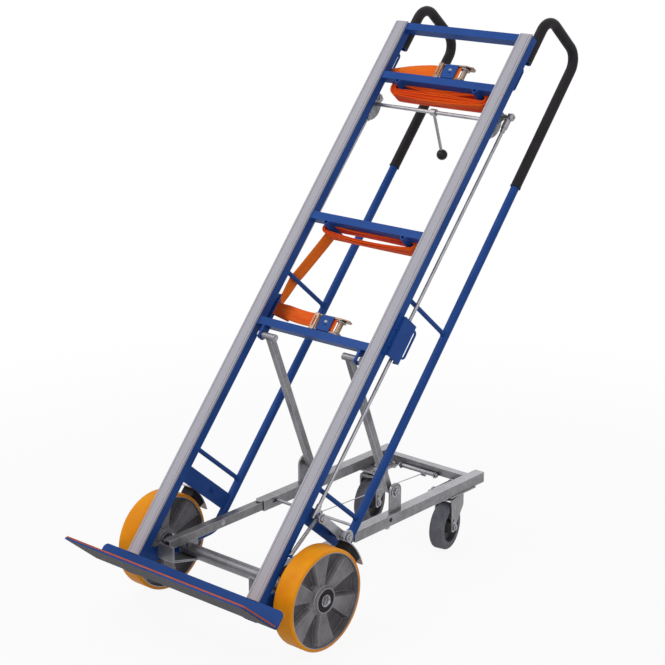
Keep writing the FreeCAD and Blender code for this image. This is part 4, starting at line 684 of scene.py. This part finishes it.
class Hardware:
    def __init__(self, laid):
        self.laid = laid
        self.verts = []
        self.faces = []

    def skin(self, rings, closed=False):  # faces over a row of rings, with flat ends or joined into a loop
        start, count = len(self.verts), len(rings[0])
        for ring in rings:
            self.verts += [tuple(self.laid @ Vector(spot)) for spot in ring]
        rows = [start + row * count for row in range(len(rings))]
        for here, there in zip(rows, rows[1:] + rows[:1] if closed else rows[1:]):
            for step in range(count):
                after = (step + 1) % count
                self.faces.append((here + step, here + after, there + after, there + step))
        if not closed:
            self.faces.append(tuple(rows[0] + step for step in reversed(range(count))))
            self.faces.append(tuple(rows[-1] + step for step in range(count)))

    def turn(self, at, axis, profile, count):  # profile of radius and height along the axis
        axis, flat, other = squareWays(axis)
        self.skin([[Vector(at) + axis * height + (flat * math.cos(angle) + other * math.sin(angle)) * radius
                    for angle in circle(count)] for radius, height in profile])

    def bolt(self, at, axis, across, height):  # a hexagon on a washer, with the end of its stud
        form = boltForm
        base, top = form["washer"], form["washer"] + height
        radius = across / 2 / math.cos(math.pi / 6)
        wide, stud = across * form["washerShare"], across * form["studShare"]
        self.turn(at, axis, [(wide, 0), (wide, form["washerFlat"]), (across * form["washerTopShare"], base),
                             (stud, base)], form["washerCount"])
        self.turn(at, axis, [(radius, base), (radius, base + height * form["sideShare"]),
                             (radius * form["crownShare"], top)], 6)
        self.turn(at, axis, [(stud, top), (stud, top + form["studOut"]),
                             (across * form["studTipShare"], top + form["studEnd"])], form["studCount"])

    def bead(self, start, end, radius=weldForm["bead"]):  # a run of weld
        start, end = Vector(start), Vector(end)
        length = (end - start).length
        steps = max(weldForm["fewest"], int(length / weldForm["step"]))
        profile = []
        for step in range(steps + 1):
            t = step / steps
            taper = min(1.0, weldForm["taper"] * min(t, 1 - t) + weldForm["tipShare"])
            wave = 1 + weldForm["rippleShare"] * math.sin(2 * math.pi * t * length / weldForm["ripple"])
            profile.append((radius * taper * wave, t * length))
        self.turn(start, end - start, profile, weldForm["count"])

    def ringBead(self, at, axis, reach):  # weld round a tube end
        axis, flat, other = squareWays(axis)
        rings = []
        for angle in circle(weldForm["ringSteps"]):
            way = flat * math.cos(angle) + other * math.sin(angle)
            ripple = weldForm["ringRippleShare"] * math.sin(weldForm["ringRipples"] * angle)
            size = weldForm["ring"] * (1 + ripple)
            rings.append([Vector(at) + way * (reach + size * math.cos(turn)) + axis * (size * math.sin(turn))
                          for turn in circle(weldForm["ringCount"])])
        self.skin(rings, closed=True)

    def plate(self, corners, thick, ease):  # a flat plate from its outline, thickened along its normal
        points = [Vector(corner) for corner in corners]
        normal = (points[1] - points[0]).cross(points[2] - points[1]).normalized()
        middle = sum(points, Vector()) / len(points)
        rings = []
        for lift, shrink in ((0, ease), (ease, 0), (thick - ease, 0), (thick, ease)):
            rings.append([point + (middle - point).normalized() * shrink * cornerEase + normal * lift
                          for point in points])
        self.skin(rings)

    def piece(self, name, paint, body, slot):
        mesh = bpy.data.meshes.new(name)
        mesh.from_pydata(self.verts, [], self.faces)
        mesh.update()
        bm = bmesh.new()
        bm.from_mesh(mesh)
        bmesh.ops.recalc_face_normals(bm, faces=bm.faces)
        for edge in bm.edges:
            edge.smooth = len(edge.link_faces) == 2 and edge.calc_face_angle(0) < creaseAngle
        bm.to_mesh(mesh)
        bm.free()
        return meshPiece(name, mesh, paint, body)


# small fittings: bolts and turned ones, placed on the right and mirrored to the left
outward, inward = (1, 0, 0), (-1, 0, 0)
upward, downward = (0, 0, 1), (0, 0, -1)


def bolted(way, head, *places):
    return {"way": way, "head": head, "places": places}


def turned(way, count, place, *profile):
    return {"way": way, "count": count, "places": (place,), "profile": profile}


def makeFittings(name, rows, laid, paint, body, slot, which=pair):
    metal = Hardware(laid)
    for side in which:
        for row in rows.values():
            way = (side * row["way"][0], *row["way"][1:])
            for across, back, up in row["places"]:
                if "head" in row:
                    metal.bolt((side * across, back, up), way, *row["head"])
                else:
                    metal.turn((side * across, back, up), way, row["profile"], row["count"])
    metal.piece(name, paint, body, slot)


def domeProfile(radius, height, turns):
    return [(radius * math.cos(turn), height * math.sin(turn)) for turn in turns]


# welds where crossbars, pegs, braces and shaft plates meet the tubes
weldPlaces = {
    "front": -0.1355, "rear": -0.1105, "rail": 0.1819, "inset": 0.001, "pegBars": ("upper", "middle"),
    "pegs": 0.125, "pegHalf": 0.0105, "pegFront": -0.1325, "pegRear": -0.1125, "pegDrop": 0.0212,
    "pegBead": 0.0017, "braces": (0.742, 0.227), "braceAcross": 0.2, "braceReach": 0.0062,
    "braceEnds": (-0.1101, 0.0822), "plate": (0.194, -0.1103), "plateUp": (1.214, 1.290), "plateBead": 0.0018}


def makeWelds():
    spots = weldPlaces
    front, rear, inset = spots["front"], spots["rear"], spots["inset"]
    weld = Hardware(truck)
    for side in pair:
        edge = side * spots["rail"]
        for top in crossbars.values():
            low = top - barHeight
            for height in (top, low):
                weld.bead((edge, front + inset, height), (edge, rear - inset, height))
            weld.bead((edge, rear, top - inset), (edge, rear, low + inset))
        for height in spots["braces"]:
            for back in spots["braceEnds"]:
                weld.ringBead((side * spots["braceAcross"], back, height), (0, 1, 0), spots["braceReach"])
        for bar in spots["pegBars"]:
            low = crossbars[bar] - spots["pegDrop"]
            for reach in (-spots["pegHalf"], spots["pegHalf"]):
                spot = side * spots["pegs"] + reach
                weld.bead((spot, spots["pegFront"], low), (spot, spots["pegRear"], low), spots["pegBead"])
        across, back = spots["plate"]
        weld.bead(*[(side * across, back, up) for up in spots["plateUp"]], spots["plateBead"])
    weld.piece("weldBeads", bluePaint, "frame", "blue_paint")


makeWelds()

# bolts of the frame: brake shaft plates, brake pivots, rod bridges and brake plate studs
frameBolts = {
    "plateInside": bolted(inward, (0.012, 0.005), (0.194, -0.0890, 1.2845), (0.194, -0.0950, 1.2190)),
    "plateOutside": bolted(outward, (0.012, 0.006), (0.198, -0.0890, 1.2845), (0.198, -0.0950, 1.2190)),
    "pivot": bolted(outward, (0.021, 0.0064), (0.2553, 0.014, 0.162))}
paintedBolts = {
    "bridge": bolted(outward, (0.0065, 0.0025), (0.2205, -0.1215, 0.655), (0.2205, -0.1215, 0.607)),
    "stud": bolted(inward, (0.010, 0.004), (0.197, 0.014, 0.162))}
makeFittings("frameBolts", frameBolts, truck, zinc, "frame", "zinc")
makeFittings("paintedBolts", paintedBolts, truck, bluePaint, "frame", "blue_paint")

# rolled collars at the feet of the grips
gripCollars = {"collar": turned(upward, 28, (0.2, 0.094, 1.1795), (0.0116, 0), (0.0140, 0.0008),
                                (0.0145, 0.0025), (0.0140, 0.005), (0.0132, 0.006))}
makeFittings("gripCollars", gripCollars, truck, gripRubber, "frame", "grip_black")

# ball joint heads and sleeves on the upper ends of the pull rods
ballHead = domeProfile(0.0105, 0.0084, (0.0, 0.3, 0.6, 0.9, 1.2, 1.42))
rodWay = (0, rodFoot[0] - rodTop[0], rodFoot[1] - rodTop[1])
rodBallHeads = {
    "head": turned(outward, 24, (0.2215, *rodTop), (0.00735, -0.0015), (0.01029, -0.0008), *ballHead),
    "tip": turned(outward, 16, (0.2297, *rodTop), (0.00357, 0), (0.00357, 0.0014), (0.00273, 0.0019)),
    "sleeve": turned(rodWay, 20, (0.215, *rodTop), (0.006375, 0.008), (0.0085, 0.010),
                     (0.0085, 0.034), (0.006375, 0.036), (0.006375, 0.045), (0.005419, 0.046))}
makeFittings("rodBallHeads", rodBallHeads, truck, zinc, "pull_rods", "zinc")

# nuts on the ball studs of the brake levers
leverNuts = {"nut": bolted(outward, (0.0145, 0.0058), (0.240, *rodFoot))}
makeFittings("leverNuts", leverNuts, truck, zinc, "brake_arms", "zinc")

# rivets through the arms, with low heads so that the channels slide over them
lowHead = ((0.0072, -0.0003), (0.0072, 0.0001), (0.0060, 0.00045))
armRivets = {"inside": turned(inward, 24, (0.1425, 0.100, 0.045), *lowHead),
             "outside": turned(outward, 24, (0.1645, 0.100, 0.045), *lowHead)}
makeFittings("armBolts", armRivets, level, zinc, "support", "zinc")

# bolts under the channels and through the caster plates, nuts on the strut brackets, swivel heads
channelBolts = {
    "slot": bolted(downward, (0.015, 0.009), (0.1535, 0.387, 0.02975)),
    "bracket": bolted(outward, (0.0188, 0.0068), (0.156, 0.420, 0.110)),
    "plateTop": bolted(upward, (0.013, 0.006), (0.101, 0.652, 0.02975), (0.101, 0.732, 0.02975)),
    "plateUnder": bolted(downward, (0.013, 0.006), (0.101, 0.652, 0.02575), (0.101, 0.732, 0.02575)),
    "swivel": turned(upward, 22, (*casterStem, 0.02945), (0.0105, 0), (0.0105, 0.002), (0.0085, 0.004),
                     (0.004, 0.0046))}
# painted shade: black discs stand for the shade inside the slot holes of the channels
channelHoleShades = {"slot": turned(outward, 20, (0.1677, 0.387, 0.046), (0.0058, -0.0002), (0.0058, 0.0003),
                               (0.0052, 0.0004))}
makeFittings("channelBolts", channelBolts, level, zinc, "extension", "zinc")
makeFittings("channelHoleShades", channelHoleShades, level, gripRubber, "extension", "grip_black")

# spring tube under the rear crossbar, with a nut at each end
latchForm = {"left": -0.068, "right": 0.046, "back": 0.727, "up": 0.035, "radius": 0.0062, "inset": 0.0022,
             "endShare": 0.8, "chamfer": 0.001, "nutOff": 0.002, "nut": (0.0105, 0.005), "count": 28}


def makeLatchTube():
    tube = Hardware(level)
    form = latchForm
    wide, slim = form["radius"], form["radius"] * form["endShare"]
    length = form["right"] - form["left"] - 2 * form["inset"]
    profile = [(slim, 0), (wide, form["chamfer"]), (wide, length - form["chamfer"]), (slim, length)]
    tube.turn((form["left"] + form["inset"], form["back"], form["up"]), outward, profile, form["count"])
    for name, way in sides.items():
        tube.bolt((form[name] + way * form["nutOff"], form["back"], form["up"]), (way, 0, 0), *form["nut"])
    tube.piece("latchTube", zinc, "extension", "zinc")


makeLatchTube()

# caster forks: a pressed crown with two cheeks, the swivel race, the axle and its nuts
casterForm = {
    "turn": 12.0, "trail": 0.040, "axle": -0.0625, "pin": 0.005, "nut": (0.0165, 0.0062),
    "front": -0.0510, "rear": 0.0215, "top": 0.0165, "shoulder": -0.014, "tip": 0.0115,
    "tipArc": (180, 345), "tipSteps": 6, "rearCut": 0.002, "shoulderCut": 0.006, "frontCut": 0.004,
    "inside": 0.0215, "sheet": 0.004, "cheekEase": 0.0006, "crownEase": 0.0004, "lap": 0.001,
    "hole": 0.019, "holeShadeRim": ((0.0034, -0.0002), (0.0034, 0.0002), (0.0030, 0.0003)), "holeCount": 18,
    "pinCount": 20, "neckCount": 40, "neckSink": 0.0005,
    "neck": ((0.022, 0), (0.022, 0.0088), (0.0205, 0.0093)),
    "race": ((0.0222, 0.0008), (0.0246, 0.0015), (0.0256, 0.0032), (0.0250, 0.0052), (0.0226, 0.0062))}


def cheekOutline():  # round the axle, up the rear edge and over the top
    form = casterForm
    first, last = form["tipArc"]
    front, rear, top, shoulder = [form[key] for key in ("front", "rear", "top", "shoulder")]
    outline = []
    for step in range(form["tipSteps"] + 1):
        angle = math.radians(first + (last - first) * step / form["tipSteps"])
        back, up = form["tip"] * math.cos(angle), form["tip"] * math.sin(angle)
        outline.append((back - form["trail"], up + form["axle"]))
    return outline + [(rear - form["rearCut"], shoulder - form["shoulderCut"]), (rear, shoulder),
                      (rear, top - form["rearCut"]), (rear - form["rearCut"], top),
                      (front + form["frontCut"], top), (front, top - form["frontCut"])]


def makeCaster(name, side):
    form = casterForm
    stem = level @ Matrix.Translation((side * casterStem[0], casterStem[1], 0))
    swivel = stem @ Matrix.Rotation(math.radians(form["turn"]), 4, "Z")
    fork, rings, holeShades = Hardware(swivel), Hardware(swivel), Hardware(swivel)
    inside, sheet, trail, axle = [form[key] for key in ("inside", "sheet", "trail", "axle")]
    outside = inside + sheet
    cheek = cheekOutline()
    for face in pair:
        line = cheek if face > 0 else cheek[::-1]
        way = (face, 0, 0)
        fork.plate([(face * inside, back, up) for back, up in line], sheet, form["cheekEase"])
        rings.bolt((face * outside, -trail, axle), way, *form["nut"])
        # painted shade: a black disc on each cheek stands for the shade inside its hole
        holeShades.turn((face * outside, -trail, axle + form["hole"]), way, form["holeShadeRim"], form["holeCount"])
    edge, low = inside + form["lap"], form["top"] - sheet
    front, rear = form["front"] + form["lap"], form["rear"] - form["lap"]
    crown = [(-edge, front, low), (edge, front, low), (edge, rear, low), (-edge, rear, low)]
    fork.plate(crown, sheet, form["crownEase"])
    pin = [(form["pin"], 0), (form["pin"], 2 * outside)]
    fork.turn((-outside, -trail, axle), outward, pin, form["pinCount"])
    fork.turn((0, 0, form["top"] - form["neckSink"]), upward, form["neck"], form["neckCount"])
    rings.turn((0, 0, form["top"]), upward, form["race"], form["neckCount"])
    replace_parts(fork.piece(name + "CasterFork", zincTube, name + "_caster", "zinc"), name + "_caster_fork")
    rings.piece(name + "CasterRings", zinc, name + "_caster", "zinc")
    holeShades.piece(name + "ForkHoleShades", gripRubber, name + "_caster", "grip_black")


for sideName, sideSign in sides.items():
    makeCaster(sideName, sideSign)
print("frame, support and casters fitted")


# cast wheel hubs: wedge spokes between pockets that open out to the rim; radii from the axle,
# then how far each face stands out from the middle of the wheel
hubForm = {
    "bore": 0.0235, "seat": 0.0310, "foot": 0.0350, "shelf": 0.0450, "rise": 0.0850,
    "lastRing": 0.1107, "wall": 0.1132, "lip": 0.1152, "rim": 0.1180, "rings": 22, "seatFace": 0.0200,
    "spokeFace": 0.0165, "spokeRimFace": 0.0205, "floorFace": 0.0040, "floorRimFace": 0.0085,
    "lipFace": 0.0285, "pockets": 6, "pocketShare": 0.53, "slope": 0.0075, "turn": math.radians(-16),
    "columns": (2, 8, 2, 10)}
pocketPitch = 2 * math.pi / hubForm["pockets"]
pocketHalf = hubForm["pocketShare"] * pocketPitch / 2


def ramp(value, low, high):  # 0 below low, 1 above high
    return min(1.0, max(0.0, (value - low) / (high - low)))


def hubFace(radius, angle):
    form = hubForm
    if radius <= form["seat"]:
        return form["seatFace"]
    if radius >= form["lip"]:
        return form["lipFace"]
    turn = angle - form["turn"]
    off = abs((turn + pocketPitch / 2) % pocketPitch - pocketPitch / 2)  # from a pocket's middle
    outer = ramp(radius, form["foot"], form["wall"]) ** 3
    spoke = form["spokeFace"] + (form["spokeRimFace"] - form["spokeFace"]) * outer
    climb = ramp(radius, form["rise"], form["wall"])
    floor = form["floorFace"] + (form["floorRimFace"] - form["floorFace"]) * climb
    wall = ramp((pocketHalf - off) * radius, 0, form["slope"])
    sunk = min(wall, ramp(radius, form["foot"], form["shelf"]))
    return spoke + (floor - spoke) * sunk


def hubAngles(radius):  # columns that follow the pocket edges
    foot = pocketHalf - hubForm["slope"] / radius if radius > hubForm["seat"] else pocketHalf / 2
    stops = (-pocketHalf, -foot, foot, pocketHalf, pocketPitch - pocketHalf)
    angles = []
    for pocket in range(hubForm["pockets"]):
        first = hubForm["turn"] + pocket * pocketPitch
        for start, stop, count in zip(stops, stops[1:], hubForm["columns"]):
            angles += [first + start + (stop - start) * step / count for step in range(count)]
    return angles


def makeHub(name, side):
    form = hubForm
    hub = Hardware(truck)
    radii = [form["bore"], form["seat"], form["foot"], (form["foot"] + form["shelf"]) / 2]
    radii += [form["shelf"] + (form["lastRing"] - form["shelf"]) * step / form["rings"]
              for step in range(form["rings"] + 1)]
    radii += [form["wall"], form["lip"], form["rim"]]
    loop = [(-1, radius) for radius in radii] + [(1, radius) for radius in radii[::-1]]  # out and back again
    rings = []
    for face, radius in loop:
        spots = [(face * hubFace(radius, angle), radius * math.cos(angle), radius * math.sin(angle))
                 for angle in hubAngles(radius)]
        rings.append([(side * wheelMiddle + out, back, up) for out, back, up in spots])
    hub.skin(rings, closed=True)
    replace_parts(hub.piece(name + "CastHub", castGrey, name + "_wheel", "cast_grey"), name + "_hub")


for sideName, sideSign in sides.items():
    makeHub(sideName, sideSign)

# hub bosses with their seals, and nuts with stud ends on the axle, all measured from the front of the boss
bossFront = (0.2885, 0, 0)
hubBoss = {"boss": turned(outward, 48, bossFront, (0.0355, -0.0080), (0.0337, -0.0060), (0.0325, -0.0015),
                          (0.0313, 0), (0.0290, 0), (0.0278, -0.0030))}
hubSeal = {"seal": turned(outward, 40, bossFront, (0.0276, -0.0029), (0.0268, -0.0012), (0.0252, -0.0008),
                          (0.0240, -0.0018), (0.0175, -0.0018), (0.0165, -0.0028))}
axleNuts = {
    "washer": turned(outward, 32, bossFront, (0.0152, -0.0026), (0.0152, -0.0004), (0.0146, 0.0001)),
    "nut": turned(outward, 6, bossFront, (0.0098, 0), (0.0098, 0.0042), (0.00882, 0.0056)),
    "stud": turned(outward, 24, bossFront, (0.005488, 0.0054), (0.005488, 0.0085), (0.00392, 0.0093))}
for sideName, sideSign in sides.items():
    wheel = sideName + "_wheel"
    makeFittings(sideName + "HubBoss", hubBoss, truck, castGrey, wheel, "cast_grey", (sideSign,))
    makeFittings(sideName + "HubSeal", hubSeal, truck, gripRubber, wheel, "grip_black", (sideSign,))
makeFittings("axleDomeNuts", axleNuts, truck, zinc, "frame", "zinc")
print("wheels fitted")


# ratchets: slotted end plates on the frames, toothed wheels on the spindles, rivets on the covers
ratchetForm = {
    "crossbars": ("upper", "lower"), "height": 0.046, "front": -0.134, "inset": 0.0004,
    "bars": ((-0.0215, -0.0172), (-0.0122, -0.0078)), "barEase": 0.0004, "bridge": (-0.0176, -0.0118),
    "bridgeHeight": 0.009, "bridgeEase": 0.0002, "sheet": 0.0022, "spindle": (0.057, -0.120),
    "wheelIn": (0.0062, 0.0082), "wheelThick": 0.002, "rivet": (0.021, -0.1338, 0.026), "rivetCount": 24,
    "teeth": 12, "tooth": ((0.0, 0.0128), (0.18, 0.0128), (0.42, 0.0102))}
rivetHead = [(0.0056, -0.0002)] + domeProfile(0.0058, 0.0024, (0.0, 0.35, 0.7, 1.05, 1.35))


def toothRing(up):
    across, back = ratchetForm["spindle"]
    teeth = ratchetForm["teeth"]
    ring = []
    for tooth in range(teeth):
        for turn, reach in ratchetForm["tooth"]:
            angle = 2 * math.pi * (tooth + turn) / teeth
            ring.append((across + reach * math.cos(angle), back + reach * math.sin(angle), up))
    return ring


def makeRatchets():
    form = ratchetForm
    front, bridge = form["front"], form["bridgeHeight"]
    plates = Hardware(truck)

    def bar(left, right, low, high, ease):
        corners = [(left, front, low), (left, front, high), (right, front, high), (right, front, low)]
        plates.plate(corners, form["sheet"], ease)

    for name in form["crossbars"]:
        top = crossbars[name]
        low, high = top + form["inset"], top + form["height"] - form["inset"]
        for left, right in form["bars"]:
            bar(left, right, low, high, form["barEase"])
        for start, end in ((low, low + bridge), (high - bridge, high)):
            bar(*form["bridge"], start, end, form["bridgeEase"])
        wheels = Hardware(truck)
        for up in (low + form["wheelIn"][0], high - form["wheelIn"][1]):
            wheels.skin([toothRing(up), toothRing(up + form["wheelThick"])])
        across, back, above = form["rivet"]
        rivet = Hardware(truck)
        rivet.turn((across, back, top + above), (0, -1, 0), rivetHead, form["rivetCount"])
        rivet.piece(name + "CoverRivet", zinc, name + "_ratchet", "zinc")
        wheels.piece(name + "RatchetTeeth", zinc, name + "_ratchet", "zinc")
    plates.piece("ratchetEndPlates", yellowZinc, "frame", "yellow_zinc")


makeRatchets()
print("ratchets fitted")


# light, floor and background
room = {"floor": 0.6, "white": 0.92, "near": 0.8, "far": 2.4, "reach": 30, "drop": 0.0005, "sky": 0.55,
        "aim": (0, 0, 0.6), "lamps": {
            "key": {"power": 62, "size": 2.6, "from": (-1.4, -2.2, 3.6)},
            "fill": {"power": 26, "size": 3.0, "from": (3.2, -1.6, 2.2)},
            "back": {"power": 30, "size": 3.0, "from": (-1.2, 3.4, 2.6)}}}
pureWhite = (1, 1, 1, 1)


def makeSky():
    world = bpy.data.worlds.new("sky")
    bpy.context.scene.world = world
    board = Board(world)
    light = board.add("ShaderNodeBackground", sockets={"Color": pureWhite, "Strength": room["sky"]})
    white = board.add("ShaderNodeBackground", sockets={"Color": pureWhite, "Strength": 1.0})
    both = {0: board.seen(), 1: board.wire(light), 2: board.wire(white)}
    either = board.wire(board.add("ShaderNodeMixShader", sockets=both))
    board.add("ShaderNodeOutputWorld", sockets={"Surface": either})


def makeFloor():
    mesh = bpy.data.meshes.new("floor")
    bm = bmesh.new()
    bmesh.ops.create_grid(bm, x_segments=2, y_segments=2, size=room["reach"])
    bm.to_mesh(mesh)
    bm.free()
    floor = bpy.data.objects.new("floor", mesh)
    bpy.context.scene.collection.objects.link(floor)
    floor.location = (0, 0, -room["drop"])
    pale = Paint("floorPale", color=(room["floor"],) * 3, roughness=0.9, level=0.1)
    glow = pale.add("ShaderNodeEmission", sockets={"Color": pureWhite, "Strength": 1.0})
    spot = pale.wire(pale.add("ShaderNodeTexCoord"), "Object")
    away = pale.wire(pale.add("ShaderNodeVectorMath", {"operation": "LENGTH"}, {0: spot}), "Value")
    bare = room["white"] + (1 - room["white"]) * pale.band(away, room["near"], room["far"])  # no horizon line
    both = {0: pale.seen() * bare, 1: pale.wire(pale.shader), 2: pale.wire(glow)}
    pale.plug(pale.output.inputs["Surface"], pale.wire(pale.add("ShaderNodeMixShader", sockets=both)))
    mesh.materials.append(pale.material)


def makeLamps():
    for name, look in room["lamps"].items():
        lamp = bpy.data.lights.new(name, "AREA")
        lamp.energy = look["power"]
        lamp.size = look["size"]
        standAt(bpy.data.objects.new(name, lamp), look["from"], room["aim"])


makeSky()
makeFloor()
makeLamps()
bpy.context.scene.view_settings.view_transform = "Standard"
print("room lit")
